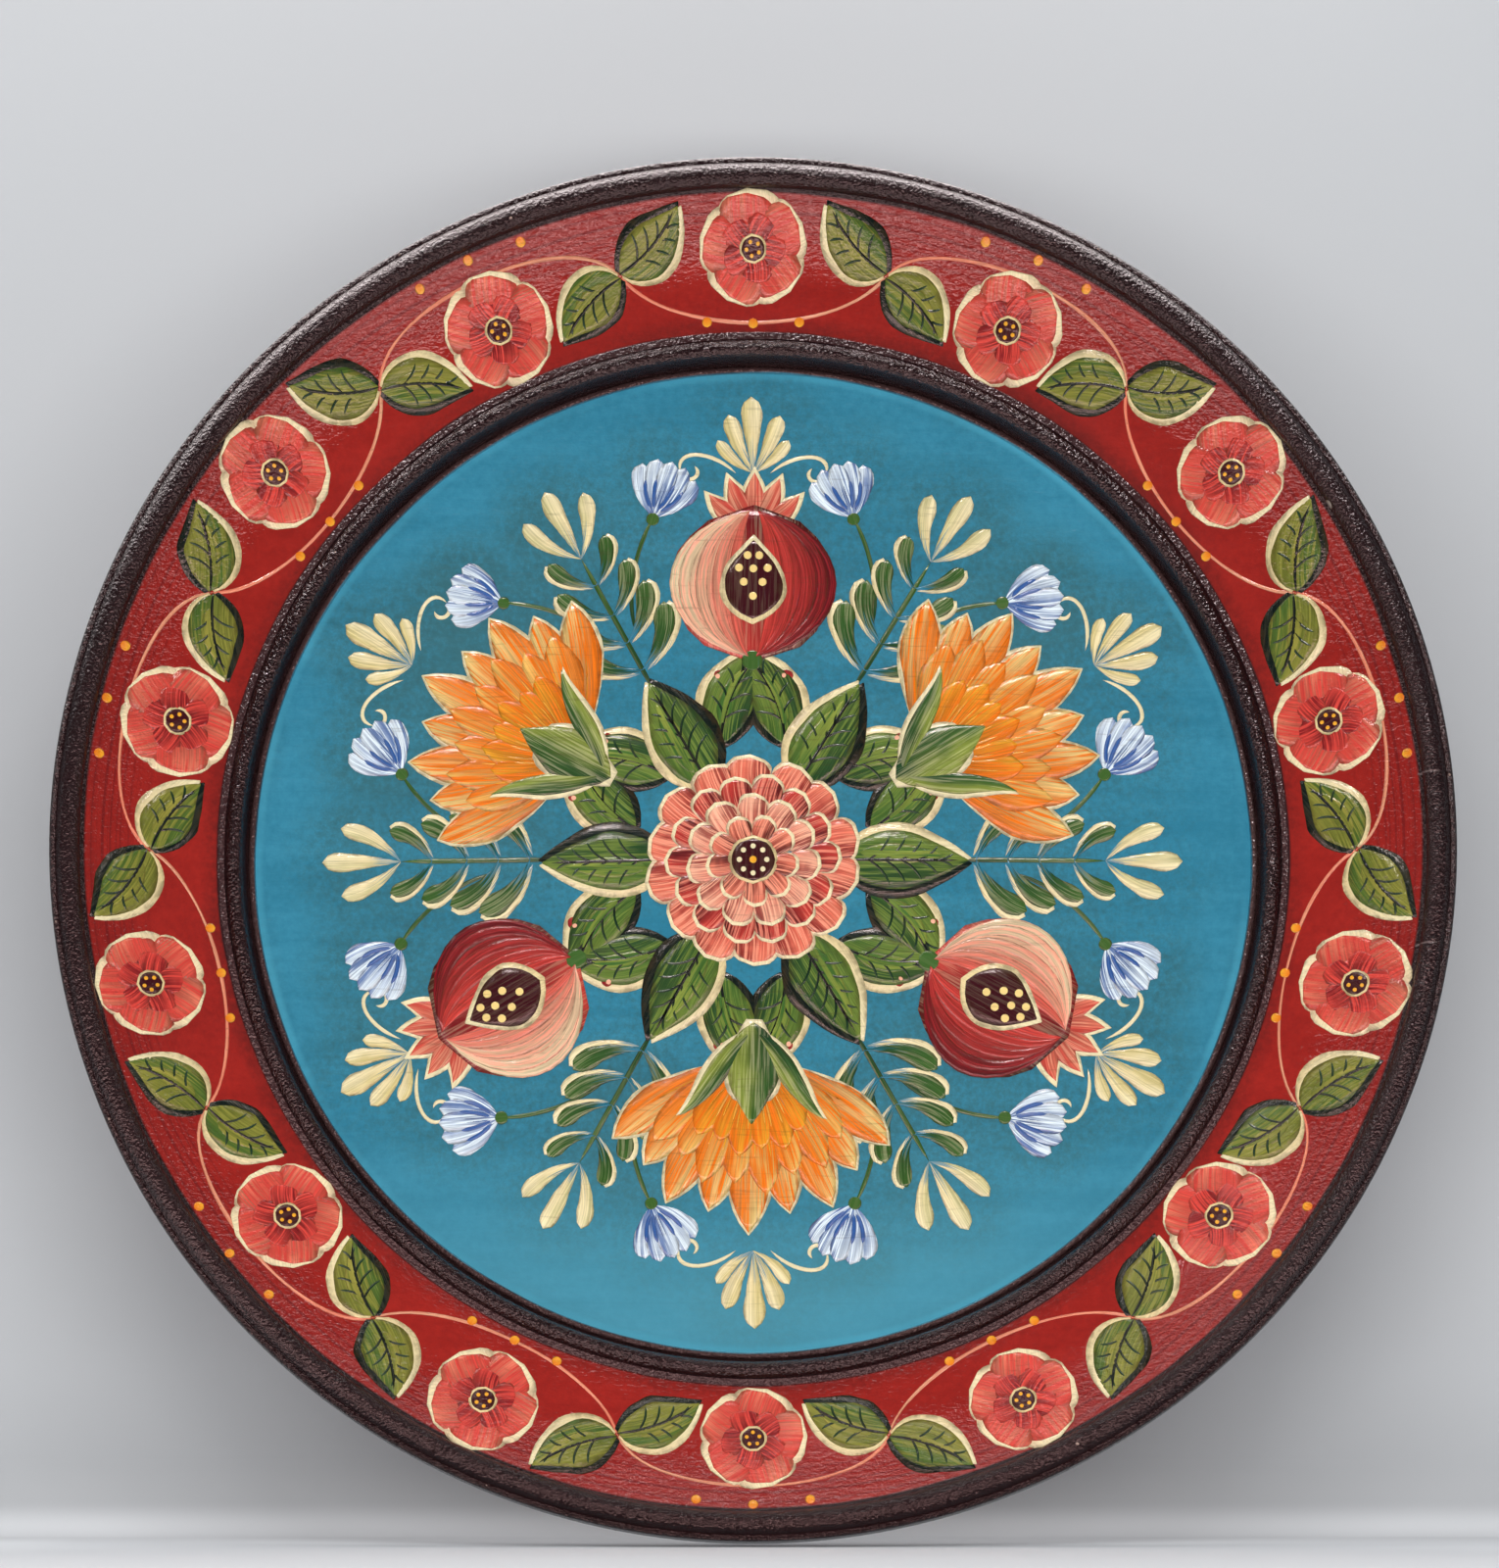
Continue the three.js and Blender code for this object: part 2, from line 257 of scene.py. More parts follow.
# %% Nodes
class Nodes:
    """Adds nodes to one tree. A value can be a number, a colour or another node's output."""

    def __init__(self, tree):
        self.tree = tree
        self.shader = tree.nodes.get("Principled BSDF")

    def give(self, socket, value):
        """Links a socket to an output, or sets it. Colours are opaque."""
        if isinstance(value, bpy.types.NodeSocket):
            self.tree.links.new(value, socket)
        else:
            socket.default_value = (*value, 1) if socket.type == "RGBA" else value

    def add(self, kind, inputs=None, **settings):
        """A new node. inputs maps a socket's name or number to its value."""
        node = self.tree.nodes.new(kind)
        for key, value in settings.items():
            setattr(node, key, value)
        for key, value in (inputs or {}).items():
            self.give(node.inputs[key], value)
        return node

    def maths(self, operation, a, b=0.0, c=0.0):
        return self.add("ShaderNodeMath", {0: a, 1: b, 2: c}, operation=operation).outputs[0]

    def plus(self, a, b):
        return self.maths("ADD", a, b)

    def minus(self, a, b):
        return self.maths("SUBTRACT", a, b)

    def times(self, a, b):
        return self.maths("MULTIPLY", a, b)

    def times_plus(self, a, b, c):
        """a times b, plus c."""
        return self.maths("MULTIPLY_ADD", a, b, c)

    def larger(self, a, b):
        return self.maths("MAXIMUM", a, b)

    def distance(self, a, b):
        """How far a is from b, either way."""
        return self.maths("ABSOLUTE", self.minus(a, b))

    def vector_maths(self, operation, a, b=(0, 0, 0)):
        return self.add("ShaderNodeVectorMath", {0: a, 1: b}, operation=operation).outputs

    def ramp(self, value, low, high, to_low=0.0, to_high=1.0, ends="SMOOTHSTEP"):
        """Maps low..high to to_low..to_high, with soft ends, and stops there."""
        inputs = {0: value, 1: low, 2: high, 3: to_low, 4: to_high}
        return self.add("ShaderNodeMapRange", inputs, interpolation_type=ends).outputs[0]

    def blend(self, amount, a, b):
        """A colour between a and b."""
        return self.add("ShaderNodeMix", {"Factor": amount, 6: a, 7: b}, data_type="RGBA").outputs[2]

    def over(self, base, mask, share, colour):
        """Lays a colour over the base where the mask is, and covers it by that share at most."""
        return self.blend(self.times(mask, share), base, colour)

    def greys(self, value, stops):
        """A cool grey that follows stops of (value, swatch grey), in order."""
        low, high = stops[0][0], stops[-1][0]
        share = self.add("ShaderNodeMapRange", {0: value, 1: low, 2: high}).outputs[0]
        node = self.add("ShaderNodeValToRGB", {0: share})
        steps = node.color_ramp.elements
        while len(steps) < len(stops):
            steps.new(0.5)
        for step, (at, grey) in zip(steps, stops):
            step.position = (at - low) / (high - low)
            step.color = (*linear(grey, grey + 2, grey + 4), 1)
        return node.outputs[0]

    def noise(self, vector, scale, detail=2.0, roughness=0.5, distortion=0.0):
        """A noise value around 0.5."""
        inputs = {"Scale": scale, "Detail": detail, "Roughness": roughness, "Distortion": distortion}
        return self.add("ShaderNodeTexNoise", {"Vector": vector, **inputs}).outputs["Fac"]

    def grain(self, vector, scale, *values):
        """Noise in a space that is stretched: each axis is scaled by its own amount."""
        stretched = self.add("ShaderNodeMapping", {"Vector": vector, "Scale": scale}).outputs[0]
        return self.noise(stretched, 1.0, *values)

    def place(self):
        """The point in the object's own space, which is the frame, because every piece sits at the origin."""
        return self.add("ShaderNodeTexCoord").outputs["Object"]

    def xyz(self, vector):
        return self.add("ShaderNodeSeparateXYZ", {0: vector}).outputs

    def channels(self, colour):
        return self.add("ShaderNodeSeparateColor", {0: colour}).outputs

    def attribute(self, name):
        return self.add("ShaderNodeAttribute", attribute_name=name).outputs

    def group(self, other, inputs):
        """Places a node group, and gives its outputs."""
        return self.add("ShaderNodeGroup", inputs, node_tree=other.tree).outputs

    def finish(self, colour, roughness, height, strength, distance):
        """Gives the Principled shader its colour and roughness, and the height as a bump of that strength."""
        bump = self.add("ShaderNodeBump", {"Strength": strength, "Distance": distance, "Height": height})
        self.give(self.shader.inputs["Base Color"], colour)
        self.give(self.shader.inputs["Roughness"], roughness)
        self.give(self.shader.inputs["Normal"], bump.outputs[0])
        print("the material has", len(self.tree.nodes), "nodes")


def new_material(name):
    """A new material and its nodes."""
    material = bpy.data.materials.new(name)
    material.use_nodes = True
    return material, Nodes(material.node_tree)


def new_group(name, inputs, outputs):
    """A node group that takes a Position and named numbers and gives named numbers.
    Returns its nodes, what it is given and what it gives."""
    tree = bpy.data.node_groups.new(name, "ShaderNodeTree")
    tree.interface.new_socket(name="Position", in_out="INPUT", socket_type="NodeSocketVector")
    for way, labels in (("INPUT", inputs), ("OUTPUT", outputs)):
        for label in labels:
            tree.interface.new_socket(name=label, in_out=way, socket_type="NodeSocketFloat")
    nodes = Nodes(tree)
    return nodes, nodes.add("NodeGroupInput").outputs, nodes.add("NodeGroupOutput").inputs


# %% [markdown]
# Distance from the plate's middle
# A turned thing is painted by rings, so both painted materials ask how far a point is from the axis. The
# group takes the place in the frame and gives that distance in millimetres.

# %% Group: from the middle
from_middle, given, gives = new_group("from_the_middle", [], ["Radius"])
moved = from_middle.vector_maths("ADD", given["Position"], (0, 0, -PLATE_RADIUS * MM))[0]
flat = from_middle.vector_maths("MULTIPLY", moved, (1 / MM, 0, 1 / MM))[0]
from_middle.give(gives["Radius"], from_middle.vector_maths("LENGTH", flat)["Value"])

# %% [markdown]
# The skin of old varnish
# The staves are glued with the grain level, and each coat of paint and varnish sinks a little into it. What
# shows is long low ripples that run left and right, short wrinkles, and a pebbled skin on the mouldings
# where the varnish is thick. The group stretches noise along X, the grain's direction, adds the turning
# lines of the rim, and gives one height for the Bump node of each painted material. The dished field was
# rubbed smoother. Ripples and turning lines stay off the mouldings, and the outermost bead has the
# strongest pebbles.

# %% Group: varnish skin, its noises and rings
skin_outputs = ["Height", "Pores", "Rings", "Mouldings"]
varnish, given, gives = new_group("varnish_skin", ["Radius", "Face"], skin_outputs)
position, from_axis, on_face = given["Position"], given["Radius"], given["Face"]
ripples = varnish.grain(position, (16, 260, 260), 3.0, 0.55, 0.15)
wrinkles = varnish.grain(position, (380, 900, 900), 2.0, 0.5, 0.5)
pebbles = varnish.noise(position, 1300)
pore_mask = varnish.ramp(varnish.grain(position, (90, 1300, 1300), 2.0, 0.6), 0.56, 0.74)
ring_space = varnish.add("ShaderNodeCombineXYZ", {0: varnish.times(from_axis, 1.1)}).outputs[0]
rings = varnish.noise(ring_space, 1.0, 3.0)

past_field = varnish.times(varnish.ramp(from_axis, field_r - 0.2, field_r + 0.4), on_face)
past_mouldings = varnish.ramp(from_axis, rim_inner_r - 0.4, rim_inner_r + 0.4)
red_rim = varnish.times(past_mouldings, varnish.ramp(from_axis, rim_outer_r - 0.6, rim_outer_r - 1.4))
red_rim = varnish.times(red_rim, on_face)
mouldings = varnish.minus(past_field, red_rim)
flat_parts = varnish.minus(1.0, mouldings)

# %% Group: varnish skin, its height
on_outer_bead = varnish.ramp(from_axis, outer_bead_r - 1.0, outer_bead_r - 0.5)
pebble_share = varnish.times_plus(mouldings, 2.2, 0.5)
pebble_share = varnish.times_plus(varnish.times(on_outer_bead, mouldings), 3.5, pebble_share)
level_coat = varnish.times_plus(ripples, 0.4, wrinkles)
level_coat = varnish.times_plus(pore_mask, -0.12, level_coat)
lumps = varnish.times_plus(pebbles, pebble_share, varnish.times(level_coat, flat_parts))
turned_lines = varnish.times(rings, varnish.ramp(from_axis, 140, 164, 0.05, 0.22))
turned_lines = varnish.times(turned_lines, flat_parts)
outer_half = varnish.ramp(from_axis, rim_inner_r + 10, rim_inner_r + 24, 0.06, 1.0)
lump_share = varnish.times_plus(red_rim, outer_half, 0.26)
lump_share = varnish.times_plus(mouldings, 0.74, lump_share)
varnish.give(gives["Height"], varnish.times_plus(lumps, lump_share, turned_lines))
varnish.give(gives["Pores"], pore_mask)
varnish.give(gives["Rings"], rings)
varnish.give(gives["Mouldings"], mouldings)

# %% [markdown]
# Specks and small chips
# An old painted plate has tiny pale chips, most of them along the proud edges of the beads, and a few
# specks of dust in the varnish. Voronoi cells scatter points: a cell's colour picks the few that become a
# speck and gives each its size, and the distance to its point draws it.

# %% Group: specks
specks, given, gives = new_group("specks", ["Density", "Amount"], ["Mask"])
cells = specks.add("ShaderNodeTexVoronoi", {"Vector": given["Position"], "Scale": given["Density"]}).outputs
luck = specks.channels(cells["Color"])
chosen = specks.maths("LESS_THAN", luck[0], given["Amount"])
near = specks.maths("LESS_THAN", cells["Distance"], specks.times_plus(luck[1], 0.14, 0.05))
specks.give(gives["Mask"], specks.times(near, chosen))
print("node groups:", [group.name for group in bpy.data.node_groups])

# %% [markdown]
# The ornament as strokes
# The painter's brush leaves strokes: a comma has a round head and a thin tail, a leaf is pointed at both
# ends, a liner draws hair lines, and a dot is the end of the handle. Each has real thickness here, a few
# hundredths of a millimetre, because paint that sits on the surface catches the light at its edges and
# shows from every side. A picture or a pattern in the shader could place colours but not that edge. So each
# stroke is a short ribbon: a spine through the plate's plane, a width along it, and colours for both sides
# of a brush that was loaded with two paints. Points in the plate's plane are complex numbers, because one
# product turns and scales a motif.

# %% Widths of strokes
WIDEST_AT = {"comma": 0.26, "petal": 0.66, "drop": 0.7, "tongue": 0.62}


def round_end(x):
    """The outline of a half circle: 1 where x is 0, down to 0 where x is 1."""
    return math.sqrt(max(0.0, 1 - x**2))


def width_of(kind, t):
    """How wide a stroke is at t, from 0 at its start to 1 at its end, as a share of its full width."""
    widest = WIDEST_AT.get(kind, 0.5)
    rise, fall = t / widest, (t - widest) / (1 - widest)
    if kind == "comma":
        return round_end(1 - rise) if t < widest else (1 - fall) ** 0.85
    if kind == "petal":
        return round_end(fall) if t > widest else 0.28 + 0.72 * math.sin(math.pi / 2 * rise)
    if kind == "drop":
        return round_end(fall) if t > widest else rise**0.8
    if kind == "tongue":
        return math.cos(math.pi / 2 * fall) ** 0.75 if t > widest else rise**0.7
    if kind == "leaf":
        return math.sin(math.pi * t**0.78) ** 0.92
    if kind == "crescent":
        return math.sin(math.pi * t) ** 0.8
    if kind == "line":
        return min(1.0, 6 * t, 5 * (1 - t)) ** 0.6
    if kind == "stem":
        return min(1.0, 0.3 + 20 * t, 0.3 + 20 * (1 - t))
    return round_end(2 * t - 1)


print("a comma's width from head to tail:", [round(width_of("comma", i / 5), 2) for i in range(6)])

# %% Poses on the plate
PLATE_MIDDLE = (0, 1, False)


def pose_at(radius, angle_deg, facing_deg=0.0, mirrored=False):
    """A pose on the plate: (middle, turn as a complex number, mirrored).
    Its local +x points outwards, turned by facing_deg."""
    middle = cmath.rect(radius, math.radians(angle_deg))
    return (middle, cmath.rect(1, math.radians(angle_deg + facing_deg)), mirrored)


def within(pose, x=0.0, y=0.0, turn_deg=0.0):
    """A pose inside another one, moved by x and y and then turned."""
    middle, turn, mirrored = pose
    local = complex(x, y)
    angle = math.radians(turn_deg)
    if mirrored:
        local, angle = local.conjugate(), -angle
    return (middle + local * turn, turn * cmath.rect(1, angle), mirrored)


def placed(spine, pose):
    """Control points of the pose's own space as points of the plate."""
    middle, turn, mirrored = pose
    return [middle + (p.conjugate() if mirrored else p) * turn for p in spine]


def straight(a, b, bend=0.0):
    """Control points from a to b. bend pushes the middle to the left by that share of the length."""
    way = b - a
    side = way * 1j * bend
    return (a, a + way / 3 + side, a + way * 2 / 3 + side, b)


print("a 9 mm stroke that bends to the left:", straight(0, 9, 0.1))

# %% Notes of strokes
STROKES = {}
stroke_random = random.Random(7)


def paint_stroke(
    piece, kind, pose, spine, width, layer, near, far=None, edge=None,
    streaks=0.5, wobble=0.04, dry=0.0, late=1.0, load=None,
):
    """Notes one stroke. spine is four control points in the pose's space, and width the full width in mm.
    near and far are the colours at its start and its end, and edge is the second colour on its right side.
    dry is how much the ground shows through its end, and late over 1 keeps the near colour for longer.
    load is the other paint in the brush, which the bristles drag along as far as streaks says."""
    note = dict(
        kind=kind, spine=placed(spine, pose), width=width, layer=layer, near=near, far=far or near, edge=edge,
        streaks=streaks, wobble=wobble, dry=dry, late=late, load=load, seed=stroke_random.random(),
    )
    STROKES.setdefault(piece, []).append(note)


def dot(piece, pose, radius, layer, colour, far=None):
    """A round dot of paint, with a second colour at its far side if one is given."""
    line = straight(-radius, radius)
    paint_stroke(piece, "round", pose, line, 2 * radius, layer, colour, far, streaks=0.1, wobble=0.02)


def ring_of_dots(piece, pose, count, distance, radius, layer, colour, start=0.0):
    """Dots in a ring, the first one turned by start in radians."""
    for k in range(count):
        spot = cmath.rect(distance, math.tau * k / count + start)
        dot(piece, within(pose, spot.real, spot.imag), radius, layer, colour)


# %% [markdown]
# The palette
# A folk painter mixes few colours and loads two at a time. These are read off the photograph: blue
# and red grounds, leaf greens with an almost black shade, corals, oranges, and a warm cream.

# %% Palette
BLUE_GROUND = linear(40, 128, 160)
RED_GROUND = linear(158, 38, 36)
CREAM = linear(240, 224, 178)
WARM_CREAM = linear(232, 206, 150)
TIP_SHADE = linear(196, 186, 128)
FAN_SHADE = linear(206, 186, 116)
LEAF = linear(62, 98, 40)
LEAF_LIGHT = linear(146, 156, 66)
LEAF_DARK = linear(26, 62, 36)
OUTLINE = linear(14, 26, 22)
OLIVE = linear(164, 154, 68)
OLIVE_DARK = linear(102, 108, 40)
CORAL = linear(208, 66, 56)
CORAL_LIGHT = linear(238, 126, 98)
CORAL_PALE = linear(248, 178, 146)
VINE = linear(222, 146, 112)
WINE = linear(128, 24, 30)
MAROON = linear(62, 14, 22)
ORANGE = linear(230, 112, 16)
AMBER = linear(244, 170, 44)
STRAW = linear(248, 214, 134)
BURNT = linear(168, 72, 18)
SKY_WHITE = linear(222, 232, 238)
SMALL_BLUE = linear(48, 92, 158)
print("leaf green in linear values:", [round(v, 3) for v in LEAF])

# %% [markdown]
# Leaves and sprays
# A leaf is one pressed stroke in green, over a dark one that shows along its shaded side and a cream one
# that shows along the other, with veins drawn by the liner. A spray is a row of commas along a stem that
# get shorter towards its tip.

# %% Leaf
LEAF_GREENS = (LEAF_LIGHT, LEAF, LEAF_DARK)


def leaf(piece, pose, length, width, bend, layer, greens=LEAF_GREENS, veins=4):
    """A leaf that grows along local +x, its shaded side to the right."""
    light, body, shadow = greens
    glint = mixed(body, light, 0.5)
    shade = straight(complex(-0.3, -width * 0.10), complex(length + 0.9, -width * 0.05), bend - 0.035)
    paint_stroke(piece, "leaf", pose, shade, width * 1.04, layer, OUTLINE, streaks=0.1)
    lit = straight(complex(-0.2, width * 0.10), complex(length + 0.7, width * 0.04), bend + 0.035)
    paint_stroke(piece, "leaf", pose, lit, width, layer + 1, WARM_CREAM, CREAM, streaks=0.4)
    whole = straight(0, length, bend)
    paint_stroke(
        piece, "leaf", pose, whole, width * 0.98, layer + 2, body, glint, shadow,
        streaks=0.8, load=mixed(body, light, 0.45),
    )
    glow = straight(complex(length * 0.16, width * 0.12), complex(length * 0.82, width * 0.08), bend)
    pale = mixed(body, light, 0.4)
    paint_stroke(piece, "leaf", pose, glow, width * 0.36, layer + 3, pale, light, streaks=1.0, load=body)
    rib = straight(-0.5, length * 0.93, bend)
    paint_stroke(piece, "line", pose, rib, 0.75, layer + 4, OUTLINE, streaks=0.1)
    for i in range(veins):
        t = 0.16 + 0.62 * (i + 0.5) / veins
        spread = width * 0.42 * width_of("leaf", min(t + 0.18, 0.95))
        foot = complex(length * t, 3 * bend * length * t * (1 - t))
        for side in (-1, 1):
            vein = straight(foot, foot + complex(length * 0.17, side * spread), -0.14 * side)
            paint_stroke(piece, "line", pose, vein, 0.6, layer + 4, OUTLINE, LEAF_DARK, streaks=0.1)


# %% Comma, spray and curl
def comma(piece, pose, length, width, bend, layer, near, far, edge=None):
    """A comma stroke: its head away at local +x, its tail at the middle of the pose."""
    curve = straight(length, 0, bend)
    paint_stroke(
        piece, "comma", pose, curve, width, layer, near, far, edge,
        streaks=0.8, wobble=0.07, dry=0.75,
    )


def edged_comma(piece, pose, length, width, bend, layer):
    """A green comma over a cream one that shows along its outer side."""
    outer_side = -1 if bend > 0 else 1
    under = within(pose, 0.3, outer_side * width * 0.20)
    comma(piece, under, length * 1.02, width * 0.92, bend, layer, CREAM, WARM_CREAM)
    comma(piece, pose, length, width * 0.9, bend, layer + 1, LEAF, LEAF_DARK)


def spray(piece, pose, length, pairs, longest, layer):
    """A stem along local +x with pairs of green commas, and three cream ones at its tip."""
    paint_stroke(piece, "line", pose, straight(0, length), 1.3, layer, LEAF_DARK, LEAF, streaks=0.3)
    for i in range(pairs):
        t = 0.18 + 0.62 * i / (pairs - 1)
        size = longest * (1 - 0.42 * t)
        for side in (-1, 1):
            lean = within(pose, length * int(t * 40) / 40, 0, side * (48 - 14 * t))
            edged_comma(piece, lean, size, size * 0.34, -0.16 * side, layer + 1)
    for k in (-1, 0, 1):
        size = longest * (0.98 - 0.12 * abs(k))
        lean = within(pose, length, 0, 30 * k)
        comma(piece, lean, size, size * 0.26, -0.12 * k, layer + 2, CREAM, WARM_CREAM, TIP_SHADE)


def curl(piece, pose, size, layer):
    """A thin cream curl: a stalk along local +x that rolls up to the left."""
    stalk = (0, 0.7 - 0.1j, 1.25 + 0.35j, 0.85 + 0.62j)
    hook = (0.85 + 0.62j, 0.58 + 0.76j, 0.46 + 0.38j, 0.72 + 0.36j)
    for bow in (stalk, hook):
        paint_stroke(piece, "line", pose, [p * size for p in bow], 1.0, layer, CREAM, streaks=0.2)


# %% [markdown]
# The flowers
# Common folk flowers in the plate's colours: a many-petalled rosette in the middle, round pomegranates with
# a window of seeds, fringed orange carnations, and small blue and white bells. They are all built from the
# same strokes, petal after petal, from the outside in, as they are painted.


# %% Rosette
def rosette(piece, pose, radius, layer):
    """A many-petalled round flower: a scalloped skirt, three rows of petals and a dotted centre."""
    rows = (
        (14, 0.58, 1.0, 0.40, CORAL, CORAL_LIGHT, WINE),
        (14, 0.42, 0.80, 0.30, WINE, CORAL, MAROON),
        (11, 0.28, 0.62, 0.28, CORAL, CORAL_PALE, WINE),
        (9, 0.14, 0.42, 0.22, WINE, CORAL_LIGHT, MAROON),
    )
    for row, (count, start, end, wide, near, far, edge) in enumerate(rows):
        level = layer + 2 * row
        for k in range(count):
            turn = 360 / count * (k + 0.5 * (row % 2)) + stroke_random.uniform(-2, 2)
            lean = within(pose, turn_deg=turn)
            tip = end * stroke_random.uniform(0.97, 1.02)
            lip = straight(radius * start, radius * (tip + 0.035), 0.05)
            paint_stroke(piece, "petal", lean, lip, radius * wide * 1.1, level, CORAL_PALE, CREAM)
            petal = straight(radius * start, radius * tip, 0.05)
            paint_stroke(
                piece, "petal", lean, petal, radius * wide, level + 1, near, far, edge,
                streaks=0.9, wobble=0.07, load=mixed(far, CORAL_PALE, 0.4),
            )
    dot(piece, pose, radius * 0.235, layer + 8, WARM_CREAM)
    dot(piece, pose, radius * 0.205, layer + 9, MAROON)
    ring_of_dots(piece, pose, 8, radius * 0.13, radius * 0.026, layer + 10, CREAM)
    dot(piece, pose, radius * 0.036, layer + 10, AMBER)


# %% Pomegranate
SEEDS = (
    (-0.16, 0), (0.02, 0.117), (0.02, -0.117), (0.19, 0),
    (0.20, 0.18), (0.20, -0.18), (0.36, 0.072), (0.36, -0.072),
)
RIBS = 8


def pomegranate(piece, pose, radius, layer):
    """A round fruit with its crown outwards along local +x, and a dark window of seeds."""
    for k in (-2, -1, 0, 1, 2):
        lean = within(pose, radius * 0.72, 0, 27 * k)
        tooth = straight(0, radius * 0.78, 0.05 * k)
        paint_stroke(piece, "leaf", lean, tooth, radius * 0.36, layer, CREAM)
        inner = straight(0.4, radius * 0.70, 0.05 * k)
        paint_stroke(
            piece, "leaf", lean, inner, radius * 0.28, layer + 1, WINE, CORAL_LIGHT, CORAL, streaks=0.9
        )
    ball = straight(-radius, radius)
    paint_stroke(piece, "round", pose, ball, 2 * radius, layer + 2, CORAL, WINE, MAROON, streaks=0.6)
    for side, outermost, carried in ((-1, MAROON, WINE), (1, CREAM, CORAL_PALE)):
        for k in range(RIBS):
            out = 1.30 * (0.98 - 0.108 * k) * side
            foot, bow = complex(-0.93, side * 0.05), complex(-0.60, out)
            rib = [p * radius for p in (foot, bow, -bow.conjugate(), -foot.conjugate())]
            tone = mixed(outermost, CORAL, 0.10 + 0.9 * k / RIBS)
            start = mixed(tone, WINE, 0.35)
            paint_stroke(
                piece, "crescent", pose, rib, radius * 0.155, layer + 3 + k % 2, start, tone,
                streaks=1.0, wobble=0.08, load=mixed(carried, CORAL, k / RIBS),
            )
    window = straight(-radius * 0.52, radius * 0.62)
    paint_stroke(piece, "leaf", pose, window, radius * 0.86, layer + 6, WARM_CREAM, CREAM)
    pane = straight(-radius * 0.45, radius * 0.55)
    paint_stroke(piece, "leaf", pose, pane, radius * 0.74, layer + 7, MAROON, streaks=0.2)
    for x, y in SEEDS:
        dot(piece, within(pose, radius * x, radius * y), radius * 0.052, layer + 8, STRAW)
    dot(piece, within(pose, -radius * 0.98), radius * 0.13, layer + 3, LEAF)


# %% Carnation
SEPAL = ((-0.16, 0.02), (0.05, 0.24), (0.22, 0.26), (0.36, 0.44))
CUP_GREENS = (LEAF_DARK, LEAF, LEAF_LIGHT)


def carnation(piece, pose, length, layer):
    """A fringed fan that opens along local +x out of a green cup."""
    rows = (
        (9, 58, 1.0, 0.25, 0, STRAW),
        (8, 48, 0.80, 0.23, 2, mixed(AMBER, STRAW, 0.5)),
        (6, 34, 0.58, 0.20, 4, AMBER),
    )
    start = length * 0.08
    for count, spread, share, wide, lift, tip in rows:
        for k in range(count):
            turn = -spread + 2 * spread * k / (count - 1)
            bend = 0.0011 * turn
            lean = within(pose, turn_deg=turn)
            ray = length * share * (1 - 0.10 * abs(turn) / 60) * (1 + 0.04 * (-1) ** k)
            if lift == 0:
                under = straight(start, ray + 0.7, bend)
                paint_stroke(piece, "tongue", lean, under, length * wide * 1.12, layer, CREAM)
            paint_stroke(
                piece, "tongue", lean, straight(start, ray, bend), length * wide, layer + lift + 1,
                BURNT, tip, ORANGE, streaks=1.0, wobble=0.07, late=1.3, load=ORANGE,
            )
            for fan in (-4.5, 0, 4.5):
                hair = straight(length * 0.14, ray * (0.74 if fan else 0.86), bend)
                beside = within(lean, turn_deg=fan)
                paint_stroke(piece, "line", beside, hair, 0.5, layer + lift + 2, BURNT, AMBER, streaks=0.4)
    shell = straight(-length * 0.22, length * 0.30)
    paint_stroke(piece, "petal", pose, shell, length * 0.34, layer + 7, CREAM)
    cup = straight(-length * 0.20, length * 0.40)
    paint_stroke(piece, "leaf", pose, cup, length * 0.32, layer + 8, *CUP_GREENS, streaks=0.9)
    for side in (-1, 1):
        sepal = [length * complex(x, side * y) for x, y in SEPAL]
        paint_stroke(piece, "leaf", pose, sepal, length * 0.15, layer + 7, CREAM)
        inner = [p - complex(0, side * length * 0.018) for p in sepal]
        paint_stroke(piece, "leaf", pose, inner, length * 0.125, layer + 8, *CUP_GREENS, streaks=0.9)


# %% Bell and blossom
def bell(piece, pose, size, layer):
    """A small blue and white bell that opens along local +x."""
    for k, turn in enumerate((-30, 30, -14, 14, 0)):
        lean = within(pose, turn_deg=turn)
        bend = 0.004 * turn
        lip = straight(0, size * (0.94 if k < 2 else 1.0), bend)
        paint_stroke(
            piece, "drop", lean, lip, size * 0.36, layer + k // 2, SMALL_BLUE, SKY_WHITE, SMALL_BLUE,
            streaks=1.0, wobble=0.08, late=0.8, load=SKY_WHITE,
        )
        vein = straight(size * 0.15, size * 0.66, bend)
        paint_stroke(piece, "line", lean, vein, size * 0.07, layer + 3, SMALL_BLUE, streaks=0.3)
    dot(piece, within(pose, -size * 0.04), size * 0.11, layer + 4, LEAF)


